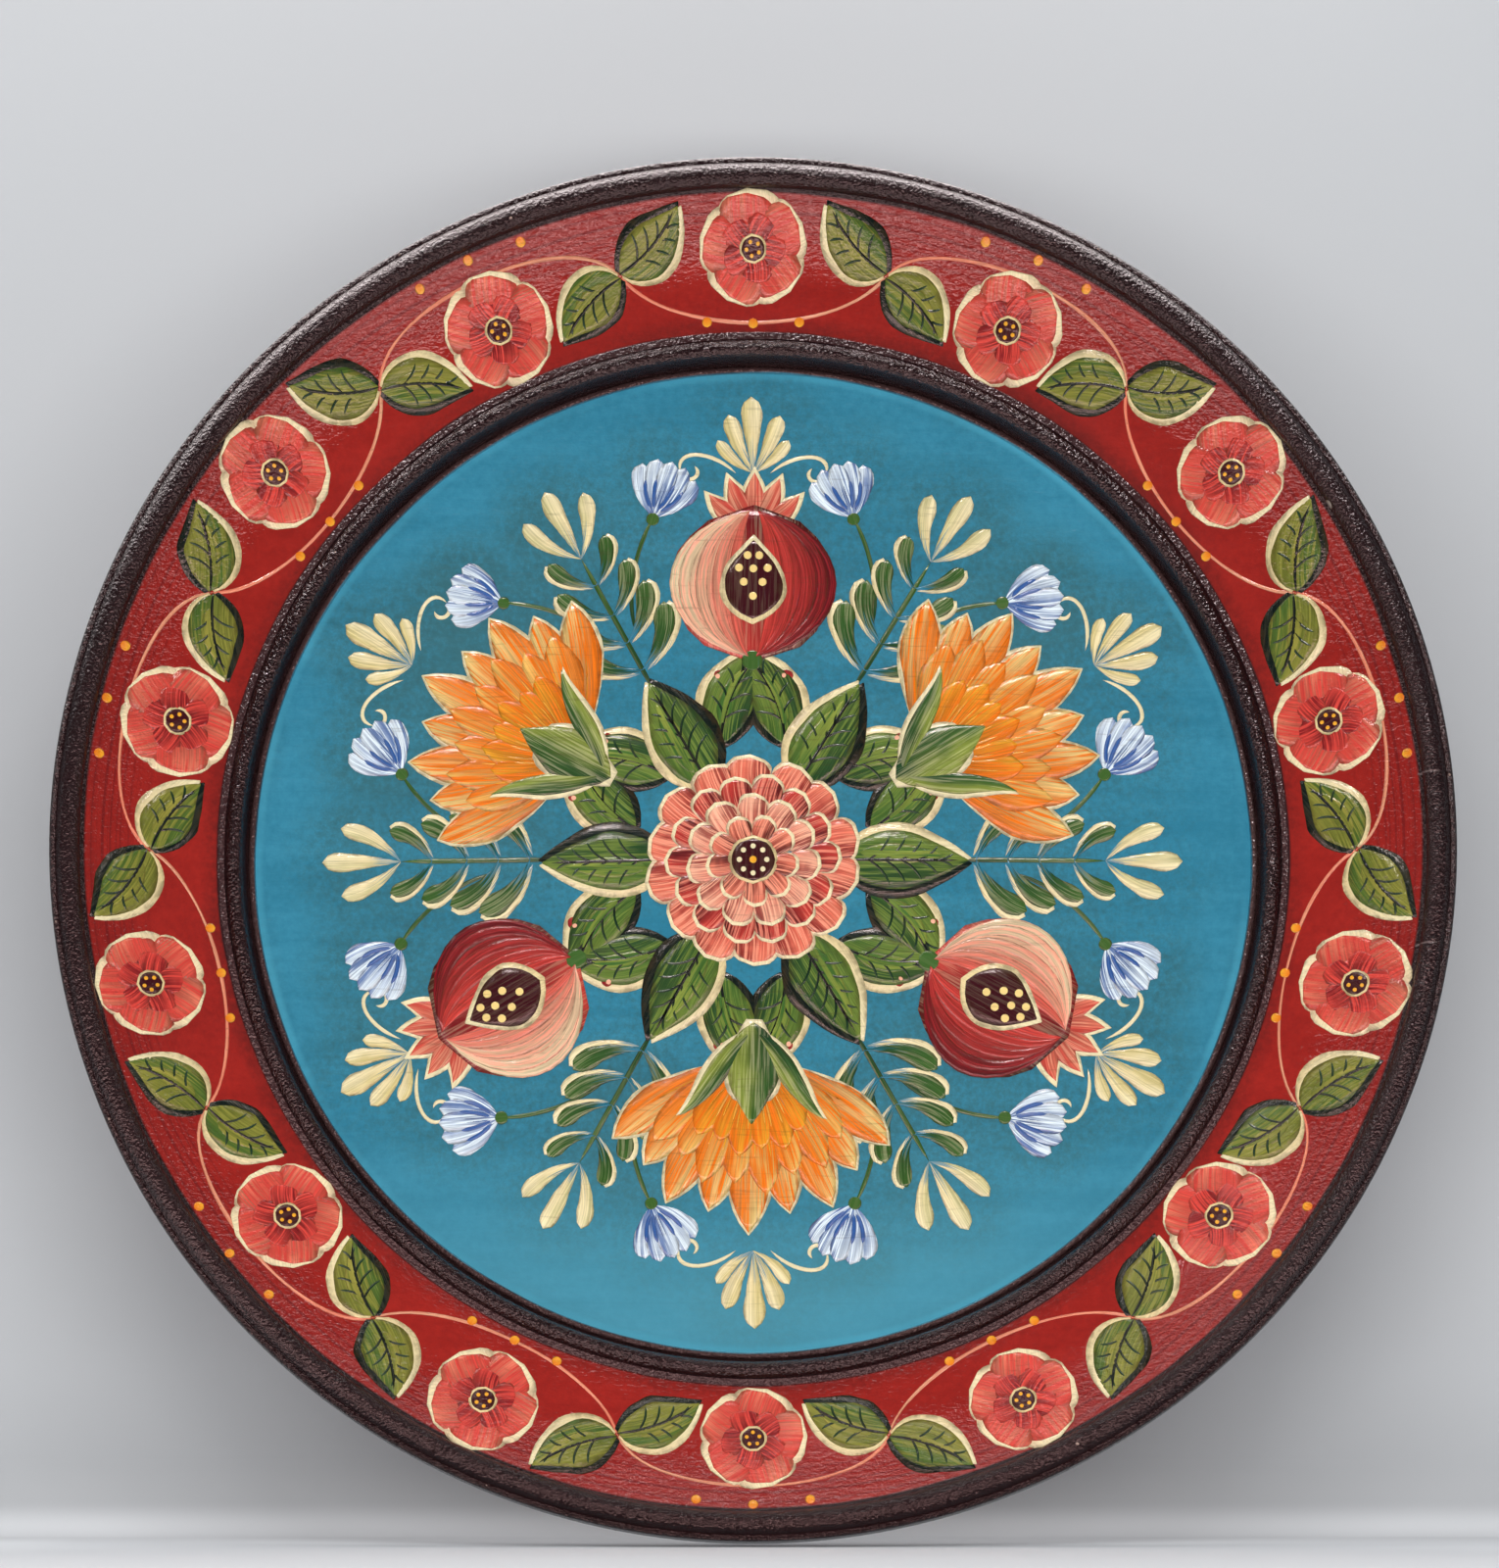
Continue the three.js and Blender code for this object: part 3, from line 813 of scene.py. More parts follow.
def blossom(piece, pose, radius, layer):
    """A small round flower with two rows of five scalloped petals and a dotted eye."""
    wide = 2 * radius * math.sin(math.pi / 5)
    start = radius * 0.1
    for k in range(5):
        lean = within(pose, turn_deg=72 * k)
        under = straight(start, radius * 1.06)
        paint_stroke(piece, "petal", lean, under, wide * 1.02, layer, CORAL_PALE, CREAM)
        over = straight(start, radius * 0.98, 0.05)
        paint_stroke(
            piece, "petal", lean, over, wide * 0.90, layer + 1, WINE, CORAL_LIGHT, CORAL,
            streaks=1.0, wobble=0.07, load=CORAL,
        )
    for k in range(5):
        lean = within(pose, turn_deg=72 * k + 36)
        inner = straight(start, radius * 0.62, 0.08)
        paint_stroke(
            piece, "petal", lean, inner, wide * 0.52, layer + 2, MAROON, CORAL, WINE,
            streaks=1.0, wobble=0.08, load=CORAL,
        )
    dot(piece, pose, radius * 0.27, layer + 3, WARM_CREAM)
    dot(piece, pose, radius * 0.225, layer + 4, MAROON)
    ring_of_dots(piece, pose, 5, radius * 0.13, radius * 0.04, layer + 5, AMBER, start=0.3)


# %% [markdown]
# The layout
# The field has the rosette in the middle and two kinds of main flower in turn round it, with leaves and
# sprays between them and cream fans towards the edge. The rim has a running vine, with a blossom at each
# bend. Small random turns and sizes keep the repeats from looking stamped. The values that end in _AT are
# distances from the middle of the plate, in millimetres.

# %% Field layout
INNER_LEAF_AT = 22
OUTER_LEAF_AT = 31
BERRY_AT = 48
SPRAY_AT = 50
CARNATION_AT = 51
STALK_AT = 66
FRUIT_AT = 72
FAN_AT = 101
STALK = (0, 12 + 1j, 22 + 9j, 27 + 15j)
FAN_SIZES = (20, 16.5, 12.5)
layout_random = random.Random(21)


def about(value, spread):
    """value with a little of the painter's hand in it."""
    return value + layout_random.uniform(-spread, spread)


for k in range(6):
    angle = 90 + 60 * k
    between = angle + 30
    spray("field_sprays", pose_at(SPRAY_AT, between, about(0, 2)), 40, 4, about(20, 0.6), 3)
    for side in (-1, 1):
        lean = pose_at(OUTER_LEAF_AT, between + side * 15, side * about(36, 2), mirrored=side > 0)
        leaf("field_leaves", lean, about(27, 1), 13, 0.13, 2)
        stalk_foot = pose_at(STALK_AT, between + side * 3, side * 6, mirrored=side < 0)
        paint_stroke("field_sprays", "line", stalk_foot, STALK, 1.1, 2, LEAF_DARK, LEAF, streaks=0.3)
        bell("field_flowers", within(stalk_foot, 27, 15, about(42, 4)), about(15, 0.5), 6)
        curl_foot = pose_at(FAN_AT, angle + side * 2.5, side * about(52, 4), mirrored=side < 0)
        curl("field_sprays", curl_foot, 13.5, 2)
    leaf("field_leaves", pose_at(INNER_LEAF_AT, between, about(0, 2)), about(32, 1), 15.5, 0.0, 6, veins=5)
    for fan in (-2, 2, -1, 1, 0):
        size = FAN_SIZES[abs(fan)]
        lean = within(pose_at(FAN_AT, angle, about(0, 1.5)), turn_deg=fan * 24)
        comma("field_sprays", lean, size, size * 0.28, -0.05 * fan, 4, CREAM, WARM_CREAM, FAN_SHADE)
    for side in (-1, 1):
        berry = pose_at(BERRY_AT, angle + side * 10)
        dot("field_flowers", berry, 2.4, 3, CORAL, WINE)
        dot("field_flowers", within(berry, 0.6, 0.6), 0.7, 4, CORAL_PALE)

for k in range(3):
    angle = 90 + 120 * k
    pomegranate("field_flowers", pose_at(FRUIT_AT, angle, about(0, 1.5)), 20.5, 7)
    carnation("field_flowers", pose_at(CARNATION_AT, angle + 60, about(0, 1.5)), about(44, 0.6), 7)
rosette("field_flowers", pose_at(0, 90), 27, 11)
print("field strokes:", {name: len(found) for name, found in STROKES.items()})

# %% Rim layout
RIM_BLOSSOMS = 14
RIM_GREENS = (OLIVE, OLIVE_DARK, LEAF)
VINE_SWING = 16.5
BERRY_SWING = 14.8
rim_middle = (rim_inner_r + rim_outer_r) / 2
rim_step = 360 / RIM_BLOSSOMS
for k in range(RIM_BLOSSOMS):
    angle = 90 + rim_step * k
    bulge = 1 if k % 2 else -1
    bow = [
        cmath.rect(rim_middle + swing * bulge, math.radians(angle + rim_step * share))
        for swing, share in ((0, -0.5), (VINE_SWING, -0.36), (VINE_SWING, 0.36), (0, 0.5))
    ]
    paint_stroke("rim_vine", "stem", PLATE_MIDDLE, bow, 0.8, 0, VINE, CORAL_LIGHT, streaks=0.6, wobble=0.3)
    middle = pose_at(rim_middle - 3.0 * bulge, angle)
    blossom("rim_blossoms", within(middle, turn_deg=about(0, 36)), about(13.2, 0.3), 6)
    for share in (-0.19, 0, 0.19):
        berry = pose_at(rim_middle + (BERRY_SWING - 20 * share * share) * bulge, angle + rim_step * share)
        dot("rim_vine", berry, 1.25, 1, AMBER, ORANGE)
    for ahead in (-1, 1):
        facing = -ahead * (90 + 34 * bulge)
        joint_at = angle + ahead * rim_step / 2
        grow = pose_at(rim_middle - 0.6 * bulge, joint_at, facing, mirrored=ahead * bulge < 0)
        leaf("rim_leaves", grow, about(22, 0.7), about(12.8, 0.4), 0.10, 1, RIM_GREENS)
print("all strokes:", {name: len(found) for name, found in STROKES.items()})

# %% [markdown]
# The plate itself
# A full spin of the outline makes the turned shape in one closed skin, as the lathe does. It is then cut by
# two planes for each stave, and each cut is closed, so every stave is a solid piece that meets its
# neighbours on the glue line. Each point also carries three masks for the material: which side of the plate
# it is on, how much of the brown glaze has gathered by a stroke, and how proud the point stands, where
# paint wears first.

# %% Spin the plate
SPIN_STEPS = 288
plate = bmesh.new()
ground_layer = plate.verts.layers.float_color.new("ground")
line = [plate.verts.new(on_plate(r, 0, h)) for r, h in front_line + back_line]
edges = [plate.edges.new(pair) for pair in zip(line, line[1:])]
bmesh.ops.spin(
    plate, geom=line + edges, cent=plate_centre, axis=(0, 1, 0), dvec=(0, 0, 0),
    angle=math.tau, steps=SPIN_STEPS, use_merge=True, use_normal_flip=False, use_duplicate=False,
)
bmesh.ops.remove_doubles(plate, verts=plate.verts[:], dist=2e-6)
bmesh.ops.recalc_face_normals(plate, faces=plate.faces[:])
print("turned skin:", len(plate.verts), "points,", len(plate.faces), "faces")

# %% Masks of the ground
GLAZE_REACH = 14.0
FOOT_WEAR = 1.2
stroke_points = [p for strokes in STROKES.values() for s in strokes for p in bezier(*s["spine"], 5)]
strokes_near = kdtree.KDTree(len(stroke_points))
for i, p in enumerate(stroke_points):
    strokes_near.insert((p.real, p.imag, 0), i)
strokes_near.balance()


def crest(distance, width):
    """1 on a crest, falling away to both sides of it."""
    return math.exp(-((distance / width) ** 2))


def ground_masks(vert):
    """(on the face, glaze gathered, standing proud, 1) for a point of the turned skin."""
    u, v = vert.co.x / MM, vert.co.z / MM - PLATE_RADIUS
    height = PLATE_HEIGHT / 2 - vert.co.y / MM
    radius = math.hypot(u, v)
    between_sides = min(max(6.0 + (radius - 127) * 0.42, 6.0), 27.0)
    if height <= between_sides:
        return (0.0, 0.0, 1.0 if height < FOOT_WEAR else 0.0, 1.0)
    gathered = 0.0
    if radius < rim_outer_r:
        gathered = sum(crest(found[2], GLAZE_REACH) for found in strokes_near.find_n((u, v, 0), 3)) / 3
    proud = max(
        crest(radius - edge_bead_r, 1.1),
        0.7 * crest(radius - outer_bead_r, 0.5),
        0.8 * crest(radius - inner_bead_inner - INNER_BEAD, 0.8),
    )
    return (1.0, gathered, proud, 1.0)


for vert in plate.verts:
    vert[ground_layer] = ground_masks(vert)
print("masks for", len(plate.verts), "points from", len(stroke_points), "points of strokes")

# %% Cut it into staves
STAVE_COUNT = 9
BLANK_SHIFT = -4.5
blank_half = PLATE_RADIUS + 20.0
stave_width = 2 * blank_half / STAVE_COUNT
SHARP_ANGLE = math.radians(38)


def cut_stave(index):
    """One closed stave of the turned plate, as a mesh object."""
    strip = plate.copy()
    low = PLATE_RADIUS + BLANK_SHIFT - blank_half + index * stave_width
    for level, keep_above in ((low, True), (low + stave_width, False)):
        if not 0 < level < 2 * PLATE_RADIUS:
            continue
        bmesh.ops.bisect_plane(
            strip, geom=strip.verts[:] + strip.edges[:] + strip.faces[:], dist=1e-7,
            plane_co=(0, 0, level * MM), plane_no=(0, 0, 1),
            clear_inner=keep_above, clear_outer=not keep_above,
        )
        bmesh.ops.holes_fill(strip, edges=[e for e in strip.edges if e.is_boundary], sides=0)
    bmesh.ops.recalc_face_normals(strip, faces=strip.faces[:])
    for face in strip.faces:
        face.smooth = True
    for edge in strip.edges:
        edge.smooth = edge.calc_face_angle(0) < SHARP_ANGLE
    print("open edges of stave", index + 1, "are", sum(not e.is_manifold for e in strip.edges))
    return new_piece(f"painted_stave_{index + 1}", strip)


staves = [cut_stave(i) for i in range(STAVE_COUNT)]
plate.free()
for i, piece in enumerate(staves):
    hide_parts(f"stave_{i + 1}")
    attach(piece, "root")

# %% [markdown]
# The painted ground
# One material paints every stave, by distance from the plate's middle: blue, then the dark mouldings, the
# red rim and the dark edge. The painter cut in these borders by hand, so the radius gets a slow wobble
# first. Under every colour lie the same uneven coats, a slow noise and a brushed one, and the same mask of
# brown glaze, which the points carry because the glaze gathers beside the strokes.

# %% Ground: masks and coats
ground_material, ground = new_material("painted_ground")
point = ground.place()
axes = ground.xyz(point)
sideways, level = axes["X"], axes["Z"]
radius_mm = ground.group(from_middle, {"Position": point})["Radius"]
is_front, gathered, proud_mask = ground.channels(ground.attribute("ground")["Color"])
skin = ground.group(varnish, {"Position": point, "Radius": radius_mm, "Face": is_front})
border = ground.times_plus(ground.minus(ground.noise(point, 26), 0.5), 1.6, radius_mm)

coat = ground.noise(point, 9, 4.0, 0.6)
brushed = ground.grain(point, (14, 120, 120), 4.0, 0.65)
patchy = ground.times_plus(brushed, 0.35, ground.times(coat, 0.4))
patchy = ground.times_plus(ground.noise(point, 420, 3.0, 0.65), 0.25, patchy)
rubbed = ground.times_plus(ground.noise(point, 700, 3.0, 0.7), 0.45, ground.times(coat, 0.85))
glaze_mask = ground.times(ground.ramp(gathered, 0.1, 1.0), ground.ramp(rubbed, 0.46, 0.84))

# %% Ground: the blue of the field
blue = ground.blend(ground.ramp(patchy, 0.36, 0.64), linear(46, 122, 148), linear(61, 143, 170))
blue = ground.over(blue, glaze_mask, 0.66, linear(54, 82, 72))
pale_low = ground.times(ground.ramp(level, 0.12, 0.055), ground.ramp(border, 66, 110))
blue = ground.over(blue, pale_low, 0.5, linear(88, 160, 178))
# The blue is paler in patches just inside the edge of the field.
paler_field_edge = ground.times(ground.ramp(border, field_r - 2.4, field_r - 0.8), ground.ramp(coat, 0.35, 0.6))
blue = ground.over(blue, paler_field_edge, 0.5, linear(84, 174, 200))

# %% Ground: the red of the rim
red = ground.blend(ground.ramp(patchy, 0.36, 0.64), linear(150, 34, 28), linear(174, 42, 34))
red = ground.over(red, glaze_mask, 0.45, linear(104, 30, 30))
edge_rings = ground.times(ground.ramp(skin["Rings"], 0.47, 0.60), ground.ramp(radius_mm, 150, 168))
red = ground.over(red, edge_rings, 0.65, linear(92, 24, 26))
# Painted shade: the red darkens towards the edge bead.
red = ground.blend(ground.ramp(radius_mm, 152, 168, 0.0, 0.25), red, linear(116, 28, 26))
# Painted shade: the red darkens in patches in the corner beside the inner fillet.
corner_shade = ground.ramp(border, rim_inner_r + 5.5, rim_inner_r + 0.3)
corner_shade = ground.times(corner_shade, ground.ramp(rubbed, 0.45, 0.85, 0.2, 0.75))
red = ground.blend(corner_shade, red, linear(92, 30, 27))

# %% Ground: the dark mouldings, and each colour in its ring
dark = ground.blend(ground.ramp(patchy, 0.35, 0.65), linear(26, 10, 12), linear(35, 14, 16))
past_bead = ground.ramp(border, inner_bead_outer - 0.5, inner_bead_outer + 0.2)
on_fillet = ground.times(past_bead, ground.ramp(border, rim_inner_r + 0.2, rim_inner_r - 0.1))
dark = ground.blend(on_fillet, dark, linear(57, 33, 34))
on_small_bead = ground.ramp(border, small_bead_outer + 0.8, small_bead_outer - 0.6)
dark = ground.blend(on_small_bead, dark, linear(62, 42, 41))

face_colour = blue
for start, end, colour in (
    (field_r - 0.1, field_r + 0.35, dark),
    (rim_inner_r - 0.2, rim_inner_r + 0.3, red),
    (rim_outer_r - 1.3, rim_outer_r - 0.7, dark),
):
    face_colour = ground.blend(ground.ramp(border, start, end, ends="LINEAR"), face_colour, colour)

# %% [markdown]
# Glue lines, chips and dust
# Where two staves meet, the paint has sunk a little, so a faint line crosses the plate. It shows most on
# the back, hardly at all on the flat paint, and at two places on the right it has opened on the bead and is
# pale. The fraction of a height counted in staves finds the lines without any new mesh. Chips lie on the
# proud edges, which the points carry as a mask, and dust lies anywhere.

# %% Ground: glue lines
low_edge = (PLATE_RADIUS + BLANK_SHIFT - blank_half) * MM
stave_at = ground.maths("DIVIDE", ground.minus(level, low_edge), stave_width * MM)
off_centre = ground.distance(ground.maths("FRACT", stave_at), 0.5)
joint = ground.ramp(off_centre, 0.492, 0.4985)
off_middle = ground.distance(level, PLATE_RADIUS * MM)
opened = ground.times(ground.ramp(sideways, 0.10, 0.13), ground.ramp(off_middle, 0.045, 0.035))
opened = ground.times(opened, ground.ramp(radius_mm, rim_outer_r - 1.5, rim_outer_r - 0.5))
opened = ground.times(opened, ground.ramp(radius_mm, edge_bead_r + 2.2, edge_bead_r))
joint_shows = ground.minus(1.0, ground.times(is_front, 0.96))
joint_shows = ground.times_plus(skin["Mouldings"], 0.15, joint_shows)
joint = ground.times(joint, ground.larger(opened, joint_shows))
joint_tone = ground.blend(opened, linear(14, 7, 8), linear(108, 93, 90))
face_colour = ground.over(face_colour, joint, 0.8, joint_tone)

# %% Ground: chips and dust
chips = ground.group(specks, {"Position": point, "Density": 420.0, "Amount": 0.06})["Mask"]
worn = ground.times(chips, ground.ramp(proud_mask, 0.25, 0.9))
face_colour = ground.blend(worn, face_colour, linear(176, 150, 136))
dust = ground.group(specks, {"Position": point, "Density": 130.0, "Amount": 0.012})["Mask"]
face_colour = ground.over(face_colour, dust, 0.7, linear(186, 176, 164))

# %% [markdown]
# The back and the gloss
# The back has one thin coat of the dark red-brown through which the wood of each stave still shows. Every
# stave is another piece of wood, so its number moves the grain along and gives it a tone of its own. The
# foot is scuffed down to the bare wood in places. The rim is the glossiest part, the field and the inner
# mouldings are a little duller, and the edge and the back are the dullest.

# %% Ground: the wood of the back
stave_no = ground.maths("FLOOR", stave_at)
stave_tone = ground.add("ShaderNodeTexWhiteNoise", {"W": stave_no}, noise_dimensions="1D").outputs["Value"]
apart = ground.add("ShaderNodeCombineXYZ", {0: ground.times(stave_no, 3.7)}).outputs[0]
stave_place = ground.vector_maths("ADD", point, apart)[0]
streaky = ground.grain(stave_place, (14, 900, 900), 3.0, 0.6)
figure = ground.grain(stave_place, (6, 80, 80), 5.0, 0.65, 0.8)
figure = ground.times_plus(streaky, 0.4, ground.times(figure, 0.6))
wood = ground.blend(ground.ramp(figure, 0.38, 0.62), linear(146, 98, 60), linear(206, 160, 110))
stain = ground.blend(ground.ramp(figure, 0.36, 0.64), linear(50, 22, 21), linear(104, 50, 40))
stain = ground.over(stain, stave_tone, 0.6, linear(122, 64, 48))
stain = ground.over(stain, joint, 0.7, linear(26, 12, 12))
scuffed = ground.ramp(ground.times_plus(streaky, 0.5, ground.times(rubbed, 0.6)), 0.58, 0.70)
back_colour = ground.blend(ground.times(proud_mask, scuffed), stain, wood)

# %% Ground: gloss and relief
roughness = ground.ramp(patchy, 0.3, 0.7, 0.07, 0.13)
roughness = ground.times_plus(ground.minus(1.0, is_front), 0.26, roughness)
roughness = ground.plus(roughness, ground.ramp(radius_mm, field_r - 2, field_r + 1, 0.08, 0.0))
roughness = ground.times_plus(skin["Mouldings"], 0.05, roughness)
roughness = ground.plus(roughness, ground.ramp(radius_mm, rim_outer_r - 1.5, rim_outer_r, 0.0, 0.10))
relief = ground.times_plus(joint, -0.35, skin["Height"])
ground.finish(ground.blend(is_front, back_colour, face_colour), roughness, relief, 0.45, 0.0006)
for piece in staves:
    piece.data.materials.append(ground_material)

# %% [markdown]
# From notes to paint
# Every stroke starts as the same blank: a small grid with an extruded edge, which makes a closed slab. For
# each stroke a copy is laid along its spine. The top follows the plate's surface at the height of its layer
# and is a little thicker along the middle; the underside dips just below the surface. Each point carries
# what the material needs: the colour on the brush, the other paint in it, the place along and across the
# stroke, which becomes bristle marks, and how dry the brush is.

# %% Brush blanks
BLANK_GRIDS = {
    "line": (14, 1),
    "stem": (26, 1),
    "round": (10, 6),
    "comma": (14, 4),
    "leaf": (16, 6),
    "petal": (12, 6),
    "drop": (12, 4),
    "tongue": (14, 4),
    "crescent": (14, 3),
}


def brush_blank(along, across):
    """A closed slab, 0 to 1 along x and -1 to 1 along y, with its top at z 1 and its underside at z 0."""
    bm = bmesh.new()
    bmesh.ops.create_grid(bm, x_segments=along, y_segments=across, size=1)
    bmesh.ops.scale(bm, vec=(0.5, 1, 1), verts=bm.verts[:])
    bmesh.ops.translate(bm, vec=(0.5, 0, 0), verts=bm.verts[:])
    grown = bmesh.ops.extrude_face_region(bm, geom=bm.faces[:])
    top = [g for g in grown["geom"] if isinstance(g, bmesh.types.BMVert)]
    bmesh.ops.translate(bm, vec=(0, 0, 1), verts=top)
    bmesh.ops.recalc_face_normals(bm, faces=bm.faces[:])
    mesh = bpy.data.meshes.new(f"brush_blank_{along}_{across}")
    bm.to_mesh(mesh)
    print(mesh.name, "open edges:", sum(not e.is_manifold for e in bm.edges))
    bm.free()
    return mesh


BLANKS = {kind: brush_blank(*grid) for kind, grid in BLANK_GRIDS.items()}

# %% Lay the strokes
LAYER_MM = 0.018
FIRST_LAYER_MM = 0.04
DOME_MM = 0.02
SINK_MM = 0.06
TRACK_STEPS = 32
NARROWEST = 0.02
HUE_SPREAD = 0.10
EDGE_COVER = 0.85
DRY_FROM = 0.35
BRISTLES_APART = 700


def lay_strokes(piece_name, strokes):
    """All strokes of one piece as one mesh object."""
    bm = bmesh.new()
    paint_layer = bm.verts.layers.float_color.new("paint")
    load_layer = bm.verts.layers.float_color.new("load")
    brush_layer = bm.verts.layers.float_vector.new("brush")
    dry_layer = bm.verts.layers.float.new("dry")
    done = 0
    for s in strokes:
        bm.from_mesh(BLANKS[s["kind"]])
        bm.verts.ensure_lookup_table()
        track = bezier(*s["spine"], TRACK_STEPS)
        length = sum(abs(b - a) for a, b in zip(track, track[1:]))
        lift = FIRST_LAYER_MM + s["layer"] * LAYER_MM
        hue = 1 + HUE_SPREAD * (s["seed"] - 0.5)
        for i in range(done, len(bm.verts)):
            vert = bm.verts[i]
            t, across, top = min(max(vert.co.x, 0), 1), vert.co.y, vert.co.z > 0.5
            j = min(int(t * TRACK_STEPS), TRACK_STEPS - 1)
            here = track[j] + (track[j + 1] - track[j]) * (t * TRACK_STEPS - j)
            ahead, behind = track[min(j + 2, TRACK_STEPS)], track[max(j - 1, 0)]
            heading = (ahead - behind) / max(abs(ahead - behind), 1e-9)
            ripple = noise.noise((t * 5, across * 0.8, s["seed"] * 50))
            half = s["width"] / 2 * max(width_of(s["kind"], t), NARROWEST)
            half *= 1 + s["wobble"] * 2 * ripple
            spot = here + heading * 1j * across * half
            surface = front_height(abs(spot))
            crown = DOME_MM * (1 - across * across) * min(1.0, half / 0.8)
            vert.co = on_plate(spot.real, spot.imag, surface + lift + crown if top else surface - SINK_MM)
            colour = mixed(s["near"], s["far"], t ** s["late"])
            if s["edge"]:
                right_side = 1 / (1 + math.exp(5.5 * (across + 0.15 + 0.5 * ripple)))
                colour = mixed(colour, s["edge"], right_side * EDGE_COVER)
            vert[paint_layer] = (*(c * hue for c in colour), s["streaks"])
            vert[load_layer] = (*(s["load"] or mixed(colour, CREAM, 0.22)), 1.0)
            vert[brush_layer] = (t * length + s["seed"] * BRISTLES_APART, across * half, across)
            vert[dry_layer] = s["dry"] * max(0.0, (t - DRY_FROM) / (1 - DRY_FROM))
        done = len(bm.verts)
    bmesh.ops.recalc_face_normals(bm, faces=bm.faces[:])
    for face in bm.faces:
        face.smooth = True
    return new_piece(piece_name, bm)


ornament = [lay_strokes(name, strokes) for name, strokes in STROKES.items()]
for mesh in BLANKS.values():
    bpy.data.meshes.remove(mesh)
for piece in ornament:
    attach(piece, "root")

# %% [markdown]
# The paint of the strokes
# Two paints lie side by side in a loaded brush, and the bristles drag the second one along in hair lines.
# Noise that is stretched along each stroke draws these lines, because the points know how far along and
# across the stroke they are. Where the brush runs dry the ground shows through, and brown glaze sits at the
# strokes' edges and in the pores of the varnish.

# %% Paint: two colours on the brush
paint_material, paint = new_material("brush_paint")
point = paint.place()
first = paint.attribute("paint")
second = paint.attribute("load")["Color"]
brush = paint.attribute("brush")["Vector"]
bristles = paint.grain(brush, (0.07, 2.4, 0), 3.0, 0.6)
tufts = paint.grain(brush, (0.05, 1.05, 0))
dragged = paint.ramp(paint.times_plus(tufts, 0.5, paint.times(bristles, 0.5)), 0.47, 0.57)
both = paint.over(first["Color"], dragged, first["Alpha"], second)
streak = paint.times(paint.minus(bristles, 0.5), first["Alpha"])
tone = paint.times_plus(streak, 1.6, 1.0)
shaded = paint.add("ShaderNodeVectorMath", {0: both, "Scale": tone}, operation="SCALE").outputs[0]

# %% Paint: glaze, dry tails and skin
radius_mm = paint.group(from_middle, {"Position": point})["Radius"]
skin = paint.group(varnish, {"Position": point, "Radius": radius_mm, "Face": 1.0})
across = paint.maths("ABSOLUTE", paint.xyz(brush)["Z"])
dirt = paint.noise(point, 300, 3.0, 0.65)
at_edge = paint.times(paint.ramp(across, 0.62, 1.0), paint.ramp(dirt, 0.38, 0.62))
glazed = paint.larger(paint.times(skin["Pores"], 0.25), paint.times(at_edge, 0.5))
aged = paint.blend(glazed, shaded, linear(74, 56, 34))
under = paint.blend(paint.ramp(radius_mm, 131, 132, ends="LINEAR"), BLUE_GROUND, RED_GROUND)
hairs = paint.grain(brush, (0.10, 4.5, 0))
gone = paint.ramp(paint.times_plus(paint.attribute("dry")["Fac"], 0.5, hairs), 0.70, 0.86)
aged = paint.over(aged, gone, 0.8, under)
relief = paint.times_plus(bristles, 0.35, skin["Height"])
paint.finish(aged, paint.ramp(bristles, 0.3, 0.7, 0.15, 0.24), relief, 0.5, 0.0005)
for piece in ornament:
    piece.data.materials.append(paint_material)

# %% [markdown]
# The hanger on the back
# The hanger and its nails already have their true shape in the solids, so they keep it and only get better
# metals: a thin brass wash that has dulled in patches, and plain steel with a little rust.


# %% Metals
def metal(name, bright, dull, rough, tarnish_scale):
    """A metal that has dulled in patches, with fine scratches along it."""
    material, nodes = new_material(name)
    point = nodes.place()
    patches = nodes.noise(point, tarnish_scale, 4.0, 0.6)
    colour = nodes.blend(nodes.ramp(patches, 0.40, 0.62), bright, dull)
    scratches = nodes.grain(point, (80, 4000, 4000))
    nodes.finish(colour, nodes.ramp(patches, 0.3, 0.7, rough, rough + 0.25), scratches, 0.25, 0.0001)
    nodes.shader.inputs["Metallic"].default_value = 1.0
    return material


METALS = {
    "sawtooth_hanger": metal("brass_wash", linear(226, 190, 118), linear(190, 150, 92), 0.30, 180),
    "hanger_nail_left": metal("nail_steel_left", linear(176, 174, 170), linear(104, 84, 68), 0.34, 900),
    "hanger_nail_right": metal("nail_steel_right", linear(170, 168, 164), linear(112, 86, 66), 0.36, 800),
}
for node, material in METALS.items():
    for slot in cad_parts[node].material_slots:
        slot.link = "OBJECT"
        slot.material = material
    print(node, "now wears", material.name)

# %% [markdown]
# The stage
# The floor and the wall behind aren't part of the plate. They are one sheet with a rounded corner, like the
# paper sweep in a photographer's box, so the corner stays soft. The photograph stands the plate a little
# back from the upright, so the floor here drops away towards the camera instead. A second sheet carries the
# floor on behind the wall, for the views from behind.

# %% Stage
FLOOR_DROP_DEG = 8.2
PLATE_STANDS_AT = -0.014
FLOOR_GAP = 0.001
FLOOR_FRONT = -2.6
WALL_Y = 0.085
WALL_TOP = 2.4
SWEEP_RADIUS = 0.02
STAGE_WIDTH = 6.0
slope = math.tan(math.radians(FLOOR_DROP_DEG))


def floor_height(y):
    """Height of the floor, which passes just under the lowest point of the plate."""
    return (y - PLATE_STANDS_AT) * slope - FLOOR_GAP


